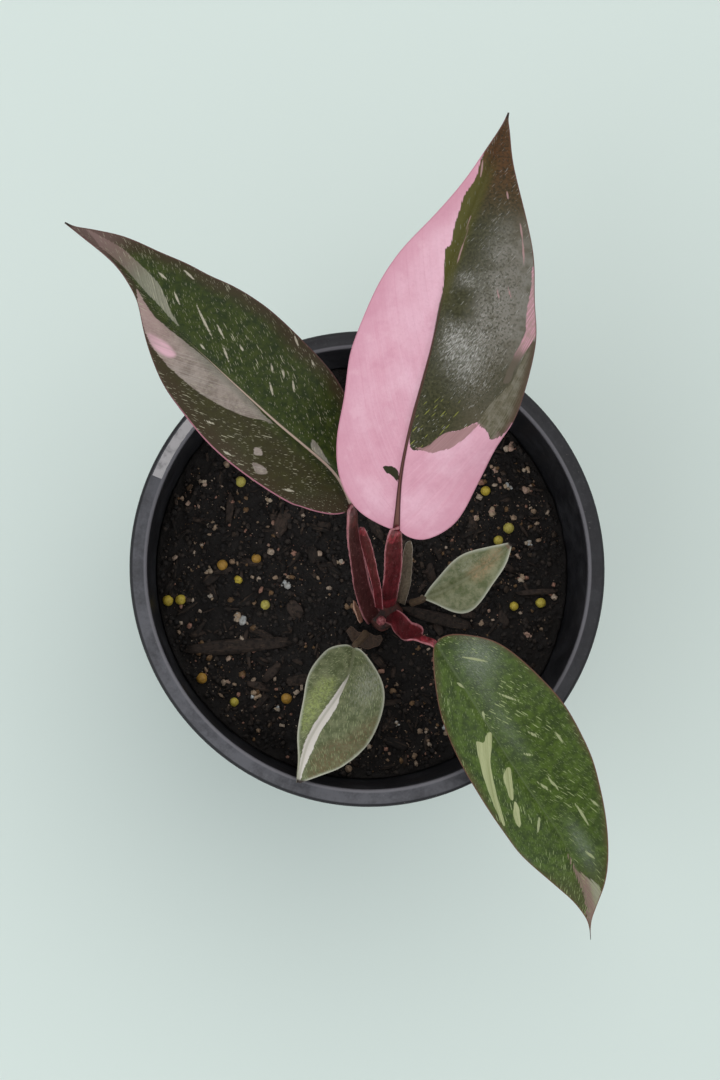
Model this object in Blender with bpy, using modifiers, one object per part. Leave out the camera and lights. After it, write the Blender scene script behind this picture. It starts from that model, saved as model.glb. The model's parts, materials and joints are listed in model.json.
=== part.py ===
"""A variegated philodendron with five leaves in a round nursery pot. Lengths are in millimetres until make_object
writes them in metres. The origin is the centre of the pot's base, and +Z is up."""

import random
from math import cos, pi, radians, sin

import bpy
import numpy as np
from mathutils import Matrix, Vector, noise

MM = 0.001
GAP = 0.35  # between neighbouring pieces that touch in life

# Pot
RIM_RADIUS = 65.0
RIM_INNER_RADIUS = 60.5
POT_HEIGHT = 105.0
COLLAR_HEIGHT = 12.0
COLLAR_STEP = 2.2
BASE_RADIUS = 46.5
WALL = 1.9
FLOOR = 3.0
POT_STEPS = 60
DRAIN_HOLES = 8
DRAIN_HOLE_RADIUS = 4.0
DRAIN_CIRCLE_RADIUS = 35.0

# Strip of tape on the rim
TAPE_START, TAPE_END = 140.0, 157.5  # degrees around the rim
TAPE_INNER, TAPE_OUTER = 61.2, 63.9
TAPE_THICKNESS = 0.6
TAPE_STEPS = 8

# Soil
SOIL_LEVEL = 87.2
SOIL_RELIEF = 1.1
SOIL_STEPS = 40
PRILL_RADIUS = 1.65
PRILLS = ((-54.5, -8.5), (-51.0, -8.2), (-35.0, -2.5), (-27.5, -9.5), (-34.5, 25.0), (34.5, 23.0), (41.0, 12.5),
          (38.0, 9.0), (42.5, -9.5), (50.0, -8.5), (-39.5, 1.5), (-30.0, 3.5), (-45.0, -30.0), (-36.0, -36.5),
          (-21.5, -35.5))
LUMPS = ((-43.0, 0.0, 1.6), (-35.0, -13.5, 1.9), (44.5, -2.0, 1.7), (46.5, 8.5, 1.6), (46.0, 29.5, 1.5),
         (41.0, 35.5, 2.0), (46.0, 24.0, 2.2), (36.5, 17.0, 1.8), (-22.0, -3.5, 1.6), (-30.0, -35.0, 1.7))
BARK = ((-35.0, -21.0, 28.0, 3.6, 5.0), (21.0, -13.0, 18.0, 3.2, -14.0), (49.0, -5.5, 11.0, 1.6, 3.0),
        (-37.5, 17.5, 8.0, 2.0, 85.0), (-14.0, -46.0, 9.0, 5.0, 40.0), (6.0, 46.0, 12.0, 4.0, 160.0))
LOOSE_CHIPS = 26
LOOSE_LUMPS = 20

# Stem
STEM = Vector((5.5, -11.5, 0.0))
STEM_TOP = 94.0
STEM_FOOT = 72.0
STEM_RADIUS = 4.6
CROWN_RADIUS = 6.5

# Each blade: its rib from base to tip, the fold of each half and its curl in degrees a centimetre, and its two edges
# as pairs of distance along the rib and distance from it.
BLADES = {
    "blade_top": dict(
        rib=((1.5, 5.0, 160), (2.0, 18.5, 167), (4.5, 32.0, 172.5), (8.0, 45.5, 176), (11.0, 59.0, 177),
             (14.5, 70.5, 175.5), (19.0, 82.0, 172.5), (24.0, 94.0, 168), (28.0, 104.0, 163), (31.0, 113.0, 157)),
        fold=(10, 12), curl=(-17, -19), ripple=(0.9, 4.5, 0.1),
        left=((0, 0.6), (1, 3.5), (5, 10), (12, 15), (20, 17.2), (30, 17.8), (41, 19.2), (54, 17.5), (66, 14),
              (78, 8.8), (90, 5.2), (104, 2.6), (118, 0.4)),
        right=((0, 0.6), (-2, 3.5), (-2, 8.5), (3, 15.5), (14, 20.5), (26, 23), (36, 26.5), (48, 27.5), (60, 25.7),
               (75, 21), (87, 13.9), (102, 4.9), (118, 0.4)),
        rows=24, columns=6, color=(0.36, 0.16, 0.14)),
    "blade_left": dict(
        rib=((-8.5, 11.5, 148), (-12.5, 19.5, 151), (-21.0, 26.5, 154), (-29.0, 33.0, 155.5), (-40.0, 43.0, 155.5),
             (-49.5, 52.0, 154), (-56.0, 58.5, 152), (-62.0, 66.5, 149), (-68.5, 75.0, 145.5), (-75.5, 81.0, 141.5),
             (-82.5, 86.5, 137)),
        fold=(8, 10), curl=(-20, -15), ripple=(0.8, 4.0, 0.4),
        left=((0, 0.6), (-0.5, 2), (1, 6.3), (6, 11.5), (16, 14), (28, 15.5), (40, 15.6), (52, 13.8), (58, 12.2),
              (63, 10), (68, 7.3), (73, 4.6), (78, 2.6), (86, 1.4), (96, 1), (109, 0.4)),
        right=((0, 0.6), (4, 3), (8, 5.5), (12, 9.8), (20, 16.5), (32, 20), (48, 20.5), (62, 18.8), (75, 14.4),
               (86, 8.4), (95, 4.7), (103, 1.9), (109, 0.4)),
        rows=24, columns=6, color=(0.055, 0.085, 0.035)),
    "blade_low": dict(
        rib=((17.0, -21.0, 113), (20.5, -27.0, 115.5), (25.5, -35.5, 118.5), (33.0, -48.0, 120), (41.0, -60.0, 119),
             (49.5, -71.5, 116), (55.0, -81.0, 112), (59.0, -91.5, 106.5), (61.0, -102.0, 100)),
        fold=(8, -24), curl=(-14, -20), ripple=(0.8, 3.5, 0.2),
        left=((0, 0.6), (-0.5, 2.8), (2, 7.5), (9, 14.6), (20, 18.8), (35, 21.3), (49, 20), (60, 15.6), (72, 10.3),
              (80, 6.4), (87, 2.6), (97, 0.4)),
        right=((0, 0.6), (2, 2.2), (7.5, 5.8), (17, 10.4), (30, 13.3), (43, 14), (56, 14.4), (64, 14), (71, 11.8),
               (78, 7.8), (84, 3.8), (89, 1.6), (97, 0.4)),
        rows=22, columns=6, color=(0.06, 0.1, 0.035)),
    "blade_small_left": dict(
        rib=((-3.5, -21.5, 97), (-4.5, -28.0, 100.5), (-8.0, -34.5, 103.5), (-11.5, -39.0, 105.5),
             (-14.5, -43.5, 107), (-17.0, -47.5, 108), (-18.5, -53.0, 108.5), (-19.5, -58.5, 108.5)),
        fold=(12, 12), curl=(-22, -22), ripple=(0.3, 2.0, 0.0),
        left=((0, 0.5), (1.5, 2.8), (5, 6), (9, 10.6), (14, 13.2), (21, 14.6), (29, 13.3), (36, 10.8), (40, 5.5),
              (43, 0.4)),
        right=((0, 0.5), (-0.3, 2.3), (2.5, 7.7), (10.5, 10), (17.5, 9.7), (23, 7.1), (30, 4.2), (36, 1.4),
               (40, 0.7), (43, 0.4)),
        rows=15, columns=4, color=(0.13, 0.16, 0.085)),
    "blade_small_right": dict(
        rib=((16.0, -8.0, 97), (20.5, -6.5, 99.5), (25.0, -4.0, 101.5), (30.0, -1.0, 103), (35.0, 3.0, 103.5),
             (39.5, 7.0, 103)),
        fold=(15, 15), curl=(-22, -22), ripple=(0.2, 2.0, 0.3),
        left=((0, 0.5), (2.8, 2.5), (7, 4.3), (12, 6), (16, 6.3), (20, 5.2), (25, 2.7), (29, 0.4)),
        right=((0, 0.5), (3, 2.9), (5.5, 5.9), (8.5, 8.5), (12.5, 8), (18, 5.4), (24, 3.4), (29, 0.4)),
        rows=12, columns=4, color=(0.2, 0.17, 0.1)),
}
BLADE_THICKNESS = 2.0
BLADE_EDGE_THICKNESS = 0.7

# Each stalk: the points of its centre line, its width and depth at each, and how deep its channel is there.
STALKS = {
    "stalk_top": dict(
        path=((6.0, -8.3, 95.2), (5.2, -6.0, 108), (4.0, -2.5, 125), (2.5, 1.5, 143), (1.3, 4.1, 158.6)),
        width=(5.2, 5.0, 4.8, 4.4, 3.4), depth=(4.4, 4.0, 3.6, 3.2, 2.8), channel=(0.3, 0.45, 0.45, 0.35, 0.15),
        facing=(1, 0.4, 0)),
    "stalk_left": dict(
        path=((1.2, -12.0, 96.0), (-2.0, -6.5, 108), (-5.0, 0.0, 125), (-7.3, 5.5, 138), (-8.4, 10.2, 147.3)),
        width=(5.0, 5.0, 4.4, 3.6, 2.8), depth=(4.2, 3.8, 3.4, 3.0, 2.6), channel=(0.4, 0.6, 0.5, 0.35, 0.1),
        facing=(0.8, -1, 0.5)),
    "stalk_low": dict(
        path=((8.6, -14.2, 95.4), (10.0, -16.6, 99.5), (12.0, -18.2, 103.5), (14.2, -19.2, 107.5),
              (16.4, -20.8, 112.0)),
        width=(4.8, 6.0, 5.4, 3.0, 2.4), depth=(3.8, 4.0, 3.4, 2.6, 2.2), channel=(0.6, 0.75, 0.7, 0.3, 0.1),
        facing=(0, 0.3, 1)),
    "stalk_small_left": dict(
        path=((0.3, -17.3, 92.2), (-1.5, -19.4, 94.2), (-3.0, -20.9, 95.7)),
        width=(2.2, 2.0, 1.8), depth=(2.0, 1.8, 1.6), channel=(0.1, 0.1, 0.1), facing=(0, 0, 1)),
    "stalk_small_right": dict(
        path=((12.9, -9.0, 92.2), (14.2, -8.7, 94.4), (15.6, -8.2, 96.3)),
        width=(2.2, 2.0, 1.8), depth=(2.0, 1.8, 1.6), channel=(0.1, 0.1, 0.1), facing=(0, 0, 1)),
    "sheath": dict(
        path=((10.4, -9.2, 95.0), (10.6, -4.0, 106), (10.0, 1.0, 115), (9.4, 5.0, 122.5)),
        width=(3.0, 3.2, 2.6, 1.4), depth=(2.0, 1.9, 1.6, 1.2), channel=(0.5, 0.5, 0.4, 0.2), facing=(-1, 0, 0.3)),
    "dry_scale_left": dict(
        path=((-0.9, -14.4, 91.6), (-1.9, -11.5, 92.4), (-3.0, -8.4, 91.4)),
        width=(2.0, 3.2, 1.4), depth=(1.4, 2.0, 1.4), channel=(0.4, 0.5, 0.4), facing=(1, 0, 0.6)),
    "dry_scale_low": dict(
        path=((-4.6, -16.2, 89.8), (-1.6, -18.8, 89.9), (2.0, -19.6, 89.9), (5.0, -18.6, 89.8)),
        width=(1.6, 4.0, 4.0, 1.4), depth=(1.3, 2.2, 2.2, 1.3), channel=(0.4, 0.55, 0.55, 0.4), facing=(0, 0, 1)),
}
STALK_COLORS = {
    "stalk_top": (0.12, 0.016, 0.02),
    "stalk_left": (0.13, 0.02, 0.025),
    "stalk_low": (0.2, 0.03, 0.035),
    "stalk_small_left": (0.13, 0.1, 0.06),
    "stalk_small_right": (0.15, 0.1, 0.07),
    "sheath": (0.12, 0.09, 0.045),
    "dry_scale_left": (0.4, 0.17, 0.06),
    "dry_scale_low": (0.14, 0.075, 0.04),
}
SECTION_SIDES = 12

BUD = Vector((4.5, -15.2, 95.9))
BUD_RADIUS = 1.1


def clear_scene():
    for obj in list(bpy.data.objects):
        bpy.data.objects.remove(obj)


def start_collection(name):
    """Makes the collection that every part goes into, and makes it the active one."""
    bpy.context.scene.collection.children.link(bpy.data.collections.new(name))
    view_layer = bpy.context.view_layer
    view_layer.active_layer_collection = view_layer.layer_collection.children[name]


def material(name, color, roughness):
    made = bpy.data.materials.new(name)
    made.use_nodes = True
    shader = made.node_tree.nodes["Principled BSDF"]
    shader.inputs["Base Color"].default_value = (*color, 1.0)
    shader.inputs["Roughness"].default_value = roughness
    shader.inputs["Metallic"].default_value = 0.0
    return made


def make_object(name, points, faces, color, roughness):
    mesh = bpy.data.meshes.new(name)
    mesh.from_pydata([Vector(p) * MM for p in points], [], [tuple(f) for f in faces])
    mesh.update()
    obj = bpy.data.objects.new(name, mesh)
    bpy.context.collection.objects.link(obj)
    mesh.materials.append(material(name, color, roughness))
    mesh.polygons.foreach_set("use_smooth", [True] * len(mesh.polygons))
    return obj


def turned(name, profile, steps, color, roughness, angle=2 * pi):
    """A surface turned about Z from a profile of (radius, height) that runs down its outer side, top to bottom."""
    edges = [(i, i + 1) for i in range(len(profile) - 1)]
    mesh = bpy.data.meshes.new(name)
    mesh.from_pydata([(r * MM, 0, z * MM) for r, z in profile], edges, [])
    obj = bpy.data.objects.new(name, mesh)
    bpy.context.collection.objects.link(obj)
    mesh.materials.append(material(name, color, roughness))
    screw = obj.modifiers.new("Turn", "SCREW")
    screw.axis = "Z"
    screw.angle = angle
    screw.steps = steps
    screw.render_steps = steps
    screw.use_merge_vertices = True
    screw.merge_threshold = 0.00001
    screw.use_smooth_shade = True
    return obj


def applied(obj):
    """The object with its modifiers made part of its mesh."""
    bpy.context.view_layer.update()
    graph = bpy.context.evaluated_depsgraph_get()
    mesh = bpy.data.meshes.new_from_object(obj.evaluated_get(graph))
    obj.modifiers.clear()
    obj.data = mesh
    return obj


def boolean(obj, others, operation):
    """Joins or cuts the object with a group of others, then removes them."""
    group = bpy.data.collections.new("cutters")
    bpy.context.scene.collection.children.link(group)
    group.hide_render = True
    for other in others:
        other.users_collection[0].objects.unlink(other)
        group.objects.link(other)
        other.hide_render = True
        other.display_type = "WIRE"
    modifier = obj.modifiers.new("Join", "BOOLEAN")
    modifier.operation = operation
    modifier.solver = "EXACT"
    modifier.operand_type = "COLLECTION"
    modifier.collection = group
    modifier.use_self = operation == "UNION"
    applied(obj)
    for other in others:
        bpy.data.objects.remove(other)
    bpy.data.collections.remove(group)
    return obj


# Curves through points


def catmull(points, per_span):
    points = np.array(points, float)
    ends = 2 * points[0] - points[1], 2 * points[-1] - points[-2]
    points = np.vstack([ends[0], points, ends[1]])
    t = np.arange(per_span)[:, None] / per_span
    spans = []
    for a, b, c, d in zip(points, points[1:], points[2:], points[3:]):
        spans.append(0.5 * (2 * b + (c - a) * t + (2 * a - 5 * b + 4 * c - d) * t**2 + (3 * b - a - 3 * c + d) * t**3))
    return np.vstack(spans + [points[-2]])


def lengths_of(points):
    steps = np.linalg.norm(np.diff(points, axis=0), axis=1)
    return np.concatenate([[0], np.cumsum(steps)])


def unit(rows):
    return rows / np.linalg.norm(rows, axis=1)[:, None]


def resampled(points, count):
    points = catmull(points, 12)
    along = lengths_of(points)
    wanted = np.linspace(0, along[-1], count)
    return np.stack([np.interp(wanted, along, points[:, k]) for k in range(points.shape[1])], axis=1)


# Blades


class Rib:
    """A leaf's rib, with the frame that carries a flat leaf onto it."""

    def __init__(self, leaf):
        self.points = catmull(leaf["rib"], 30)
        self.along = lengths_of(self.points)
        self.forward = unit(np.gradient(self.points, axis=0))
        self.side = unit(np.cross(self.forward, (0, 0, 1)))
        self.normal = np.cross(self.side, self.forward)
        self.leaf = leaf

    def at(self, rows, a):
        return np.array([np.interp(a, self.along, rows[:, k]) for k in range(3)])

    def place(self, a, b):
        """The point a along the rib and b to its right, on the folded and curled leaf."""
        on_rib = min(max(a, 0), self.along[-1])
        hand = int(b > 0)
        fold = radians(self.leaf["fold"][hand])
        curl = radians(self.leaf["curl"][hand]) / 10
        w = abs(b)
        out = (sin(fold + curl * w) - sin(fold)) / curl
        up = (cos(fold) - cos(fold + curl * w)) / curl
        height, waves, phase = self.leaf["ripple"]
        up += height * sin(2 * pi * (waves * a / self.along[-1] + phase)) * (w / 20) ** 2
        forward = self.at(self.forward, on_rib)
        point = self.at(self.points, on_rib) + forward * (a - on_rib)
        return point + self.at(self.side, on_rib) * out * (1 if hand else -1) + self.at(self.normal, on_rib) * up


def blade_rows(leaf, length):
    """Rows of flat points, each from the left edge over the rib to the right edge."""
    rows, columns = leaf["rows"], leaf["columns"]
    left = resampled(leaf["left"], rows + 1)
    right = resampled(leaf["right"], rows + 1)
    found = []
    for i in range(rows + 1):
        rib = np.array([0.1 + (length - 0.2) * i / rows, 0.0])
        ends = left[i] * (1, -1), right[i]
        row = [rib + (ends[0] - rib) * (j / columns) for j in range(columns, 0, -1)]
        row += [rib] + [rib + (ends[1] - rib) * (j / columns) for j in range(1, columns + 1)]
        found.append(row)
    return found


def blade(name, leaf):
    rib = Rib(leaf)
    rows = blade_rows(leaf, rib.along[-1])
    points = [rib.place(a, b) for row in rows for a, b in row]
    wide = len(rows[0])
    faces = []
    for i in range(len(rows) - 1):
        for j in range(wide - 1):
            k = i * wide + j
            faces.append((k, k + 1, k + wide + 1, k + wide))
    obj = make_object(name, points, faces, leaf["color"], 0.35)
    thick = obj.vertex_groups.new(name="thick")
    for i in range(len(rows)):
        along = min(1.0, 3.0 * (1 - i / (len(rows) - 1)), 0.35 + 4.0 * i / (len(rows) - 1))
        for j in range(wide):
            across = 1 - abs(j - leaf["columns"]) / leaf["columns"]
            thick.add([i * wide + j], along * max(0.0, across * 2.2 - 1.2), "REPLACE")
    triangulate = obj.modifiers.new("Triangles", "TRIANGULATE")
    triangulate.quad_method = "FIXED"
    solidify = obj.modifiers.new("Thickness", "SOLIDIFY")
    solidify.thickness = BLADE_THICKNESS * MM
    solidify.offset = -1
    solidify.vertex_group = "thick"
    solidify.thickness_vertex_group = BLADE_EDGE_THICKNESS / BLADE_THICKNESS
    return obj


# Stalks


def section(width, depth, channel):
    """A round section whose upper side sinks into a channel."""
    found = []
    for k in range(SECTION_SIDES):
        angle = 2 * pi * k / SECTION_SIDES
        rise = sin(angle)
        y = depth / 2 * rise - channel * depth * max(0.0, rise)
        found.append((width / 2 * cos(angle), y))
    return found


def stalk(name, data):
    """A channelled stalk lofted along its centre line, its section changing on the way."""
    keys = np.column_stack([data["path"], data["width"], data["depth"], data["channel"]])
    rows = resampled(keys, 3 * (len(keys) - 1) + 1)
    forward = unit(np.gradient(rows[:, :3], axis=0))
    points = []
    for row, ahead in zip(rows, forward):
        side = np.cross(ahead, data["facing"])
        side /= np.linalg.norm(side)
        top = np.cross(side, ahead)
        points += [row[:3] + side * x + top * y for x, y in section(*row[3:])]
    n = SECTION_SIDES
    faces = [tuple(range(n)), tuple(reversed(range(len(points) - n, len(points))))]
    for i in range(len(rows) - 1):
        for k in range(n):
            a, b = i * n + k, i * n + (k + 1) % n
            faces.append((b, a, a + n, b + n))
    return make_object(name, points, faces, STALK_COLORS[name], 0.4)


# Pot


def pot():
    rim, inner, top = RIM_RADIUS, RIM_INNER_RADIUS, POT_HEIGHT
    collar = top - COLLAR_HEIGHT
    outside = [(rim - 0.7, top), (rim, top - 0.7), (rim - 0.5, collar + 0.4), (rim - 0.9, collar)]
    outside += [(rim - COLLAR_STEP, collar - 0.6), (BASE_RADIUS + 0.6, 1.0), (BASE_RADIUS - 0.4, 0.0)]
    inside = [(0.0, FLOOR), (BASE_RADIUS - WALL - 1.2, FLOOR), (BASE_RADIUS - WALL, FLOOR + 1.2)]
    inside += [(inner - 0.3, top - 3.0), (inner, top - 0.5), (inner + 0.5, top)]
    profile = inside + outside + [(0.0, 0.0)]
    obj = applied(turned("pot", profile, POT_STEPS, (0.012, 0.012, 0.013), 0.45))
    holes = []
    for k in range(DRAIN_HOLES):
        bpy.ops.mesh.primitive_cylinder_add(vertices=16, radius=DRAIN_HOLE_RADIUS * MM, depth=4 * FLOOR * MM)
        hole = bpy.context.object
        hole.location = Matrix.Rotation(2 * pi * k / DRAIN_HOLES, 3, "Z") @ Vector((DRAIN_CIRCLE_RADIUS * MM, 0, 0))
        holes.append(hole)
    return boolean(obj, holes, "DIFFERENCE")


def tape():
    """A flat arc on top of the rim, thickened upwards."""
    low = POT_HEIGHT + GAP
    angle = radians(TAPE_END - TAPE_START)
    obj = turned("rim_tape", [(TAPE_INNER, low), (TAPE_OUTER, low)], TAPE_STEPS, (0.35, 0.36, 0.34), 0.6, angle)
    obj.rotation_euler.z = radians(TAPE_START)
    solidify = obj.modifiers.new("Thickness", "SOLIDIFY")
    solidify.thickness = TAPE_THICKNESS * MM
    solidify.offset = 1
    return obj


# Soil


def wall_radius(z):
    """The pot's inner radius at a height."""
    low, high = BASE_RADIUS - WALL, RIM_INNER_RADIUS - 0.3
    return low + (high - low) * (z - FLOOR - 1.2) / (POT_HEIGHT - FLOOR - 4.2)


def soil_height(x, y):
    rough = noise.noise(Vector((x / 7, y / 7, 3.0))) + 0.5 * noise.noise(Vector((x / 3, y / 3, 9.0)))
    from_stem = (Vector((x, y, 0)) - STEM).length
    calm = min(1.0, max(0.0, from_stem - 8) / 10)
    return SOIL_LEVEL + SOIL_RELIEF * rough * calm


def soil_body():
    edge = wall_radius(SOIL_LEVEL) - GAP - 0.2
    foot = wall_radius(FLOOR + 1.6) - GAP - 0.2
    profile = [(0, SOIL_LEVEL)] + [(edge * k / 9, SOIL_LEVEL) for k in range(1, 10)]
    profile += [(foot, FLOOR + 1.6), (foot - 1.6, FLOOR + GAP), (0, FLOOR + GAP)]
    obj = applied(turned("soil", profile, SOIL_STEPS, (0.012, 0.009, 0.007), 0.9))
    for vertex in obj.data.vertices:
        x, y, z = vertex.co / MM
        if z > SOIL_LEVEL - 0.1:
            vertex.co.z = soil_height(x, y) * MM
    return obj


def lump(x, y, radius, squash, turn):
    bpy.ops.mesh.primitive_ico_sphere_add(subdivisions=1, radius=radius * MM)
    obj = bpy.context.object
    obj.scale = (1.0, 0.9, squash)
    obj.rotation_euler = (0.3 * turn, 0.2, turn)
    obj.location = Vector((x, y, soil_height(x, y) + radius * 0.2)) * MM
    return obj


def chip(x, y, length, width, degrees, tilt):
    bpy.ops.mesh.primitive_cube_add(size=1)
    obj = bpy.context.object
    obj.scale = (length * MM, width * MM, 2.4 * MM)
    obj.rotation_euler = (0.5 * tilt, tilt, radians(degrees))
    obj.location = Vector((x, y, soil_height(x, y) + 0.15)) * MM
    return obj


def clear_spot(rng, taken, reach):
    """A spot on the soil that keeps clear of the stem, the wall and what lies there."""
    while True:
        radius = (wall_radius(SOIL_LEVEL) - 3 - reach) * rng.random() ** 0.5
        angle = rng.uniform(0, 2 * pi)
        spot = Vector((radius * cos(angle), radius * sin(angle), 0))
        if (spot - STEM).length < 15 + reach:
            continue
        if all((spot - other).length > reach + size for other, size in taken):
            taken.append((spot, reach))
            return spot.x, spot.y


def soil():
    rng = random.Random(7)
    taken = [(Vector((x, y, 0)), PRILL_RADIUS + 0.3) for x, y in PRILLS]
    taken += [(Vector((x, y, 0)), r + 0.3) for x, y, r in LUMPS]
    taken += [(Vector((x, y, 0)), length / 2) for x, y, length, width, turn in BARK]
    pieces = [lump(x, y, PRILL_RADIUS, 1.0, k) for k, (x, y) in enumerate(PRILLS)]
    pieces += [lump(x, y, r, 0.8, k) for k, (x, y, r) in enumerate(LUMPS)]
    pieces += [chip(x, y, length, width, turn, 0.03) for x, y, length, width, turn in BARK]
    for _ in range(LOOSE_CHIPS):
        length, width = rng.uniform(4, 9), rng.uniform(2, 4)
        x, y = clear_spot(rng, taken, length / 2)
        pieces.append(chip(x, y, length, width, rng.uniform(0, 180), rng.uniform(-0.15, 0.15)))
    for _ in range(LOOSE_LUMPS):
        radius = rng.uniform(1.0, 1.9)
        x, y = clear_spot(rng, taken, radius + 0.3)
        pieces.append(lump(x, y, radius, 0.8, rng.uniform(0, 3)))
    return boolean(boolean(soil_body(), pieces, "UNION"), [stem_hole()], "DIFFERENCE")


def stem_hole():
    bpy.ops.mesh.primitive_cylinder_add(vertices=24, radius=(STEM_RADIUS + GAP + 0.1) * MM, depth=40 * MM)
    obj = bpy.context.object
    obj.location = (STEM + Vector((0, 0, STEM_FOOT - GAP + 20))) * MM
    return obj


def main_stem():
    foot, waist = STEM_FOOT, SOIL_LEVEL + 1.6
    profile = [(0, STEM_TOP), (CROWN_RADIUS - 0.8, STEM_TOP), (CROWN_RADIUS, STEM_TOP - 0.8)]
    profile += [(CROWN_RADIUS, STEM_TOP - 2.6), (STEM_RADIUS, waist), (STEM_RADIUS, foot), (0, foot)]
    obj = turned("main_stem", profile, 24, (0.1, 0.05, 0.03), 0.6)
    obj.location = STEM * MM
    return obj


def bud():
    bpy.ops.mesh.primitive_uv_sphere_add(segments=12, ring_count=8, radius=BUD_RADIUS * MM)
    obj = bpy.context.object
    obj.name = "bud"
    obj.location = BUD * MM
    obj.scale = (1.0, 1.0, 1.3)
    obj.data.materials.append(material("bud", (0.45, 0.16, 0.18), 0.45))
    obj.data.polygons.foreach_set("use_smooth", [True] * len(obj.data.polygons))
    return obj


def main():
    clear_scene()
    start_collection("potted_philodendron")
    pot()
    tape()
    soil()
    main_stem()
    bud()
    for name, data in STALKS.items():
        stalk(name, data)
    for name, leaf in BLADES.items():
        blade(name, leaf)


main()
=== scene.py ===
"""Looks of the potted variegated philodendron. Lengths are in millimetres, and in metres once in Blender."""

import json
import random
from math import cos, exp, pi, radians, sin

import bmesh
import bpy
import numpy as np
from mathutils import Euler, Matrix, Vector, noise

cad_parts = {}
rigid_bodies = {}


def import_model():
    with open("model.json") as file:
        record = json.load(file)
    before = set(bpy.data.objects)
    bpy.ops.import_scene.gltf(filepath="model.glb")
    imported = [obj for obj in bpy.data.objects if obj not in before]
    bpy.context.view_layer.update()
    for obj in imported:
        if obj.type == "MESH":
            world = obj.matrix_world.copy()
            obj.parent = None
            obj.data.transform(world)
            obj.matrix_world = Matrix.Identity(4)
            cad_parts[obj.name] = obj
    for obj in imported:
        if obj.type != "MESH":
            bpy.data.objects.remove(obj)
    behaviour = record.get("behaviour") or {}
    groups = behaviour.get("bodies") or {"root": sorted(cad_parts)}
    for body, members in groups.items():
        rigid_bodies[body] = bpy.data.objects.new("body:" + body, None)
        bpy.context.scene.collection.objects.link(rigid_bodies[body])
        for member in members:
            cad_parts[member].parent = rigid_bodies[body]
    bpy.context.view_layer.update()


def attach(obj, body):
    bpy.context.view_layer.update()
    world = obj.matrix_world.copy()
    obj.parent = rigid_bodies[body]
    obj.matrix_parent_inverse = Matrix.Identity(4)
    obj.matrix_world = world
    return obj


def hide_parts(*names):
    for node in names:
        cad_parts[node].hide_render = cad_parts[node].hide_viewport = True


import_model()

MM = 0.001

# Pot, as in the CAD
RIM_RADIUS = 65.0
RIM_INNER_RADIUS = 60.5
POT_HEIGHT = 105.0
COLLAR_HEIGHT = 12.0
COLLAR_STEP = 2.2
BASE_RADIUS = 46.5
WALL = 1.9
FLOOR = 3.0
POT_STEPS = 192
DRAIN_HOLES = 8
DRAIN_HOLE_RADIUS = 4.0
DRAIN_CIRCLE_RADIUS = 35.0
HOLE_STEPS = 40
RIM_SHEEN_SIDE = (-0.75, -0.66, 0)  # the side of the rim whose top gets a painted sheen
SHARP_EDGE = radians(40)

TAPE_START, TAPE_END = 140.0, 157.5  # degrees around the rim
TAPE_INNER, TAPE_OUTER = 61.2, 63.9
TAPE_THICKNESS = 0.12
TAPE_STEPS = 60

# Soil, as in the CAD
SOIL_LEVEL = 87.2
SOIL_RELIEF = 1.1
SOIL_EDGE_GAP = 0.25
PRILL_RADIUS = 1.65
PRILLS = ((-54.5, -8.5), (-51, -8.2), (-35, -2.5), (-27.5, -9.5), (-34.5, 25), (34.5, 23), (41, 12.5),
          (38, 9), (42.5, -9.5), (50, -8.5), (-39.5, 1.5), (-30, 3.5), (-45, -30), (-36, -36.5),
          (-21.5, -35.5))
OCHRE_PRILLS = (10, 11, 12, 14)
LUMPS = ((-43, 0, 1.6), (-35, -13.5, 1.9), (44.5, -2, 1.7), (46.5, 8.5, 1.6), (46, 29.5, 1.5),
         (41, 35.5, 2), (46, 24, 2.2), (36.5, 17, 1.8), (-22, -3.5, 1.6), (-30, -35, 1.7))
BARK = ((-35, -21, 28, 3.6, 5), (21, -13, 18, 3.2, -14), (49, -5.5, 11, 1.6, 3), (-37.5, 17.5, 8, 2, 85),
        (-14, -46, 9, 5, 40), (6, 46, 12, 4, 160))
LOOSE_CHIPS = 26
LOOSE_LUMPS = 20
CAD_SEED = 7

# Soil relief and grains that only the looks have
SOIL_RINGS = 100
SOIL_STEPS = 300
CRUMBS = 6500
SPLINTERS = 420
GRIT = 680
DUST = 2600
GRAINS_IN_LUMP = 5
GRAIN_SEED = 21

# Where pale grit gathers: the middle of each drift, and its reach
DRIFTS = ((38, 18, 18), (22, -38, 15), (12, -43, 13), (-22, -2, 9), (-38, -30, 14), (-40, 18, 12))

# Stem, as in the CAD
STEM = Vector((5.5, -11.5, 0))
STEM_TOP = 94.0
STEM_FOOT = 72.0
STEM_RADIUS = 4.6
CROWN_RADIUS = 4.9
STEM_STEPS = 64
BUD = Vector((4.1, -14.2, 95.7))
BUD_RADIUS = 1.3
BUD_HEIGHT = 1.3  # times its width

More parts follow.
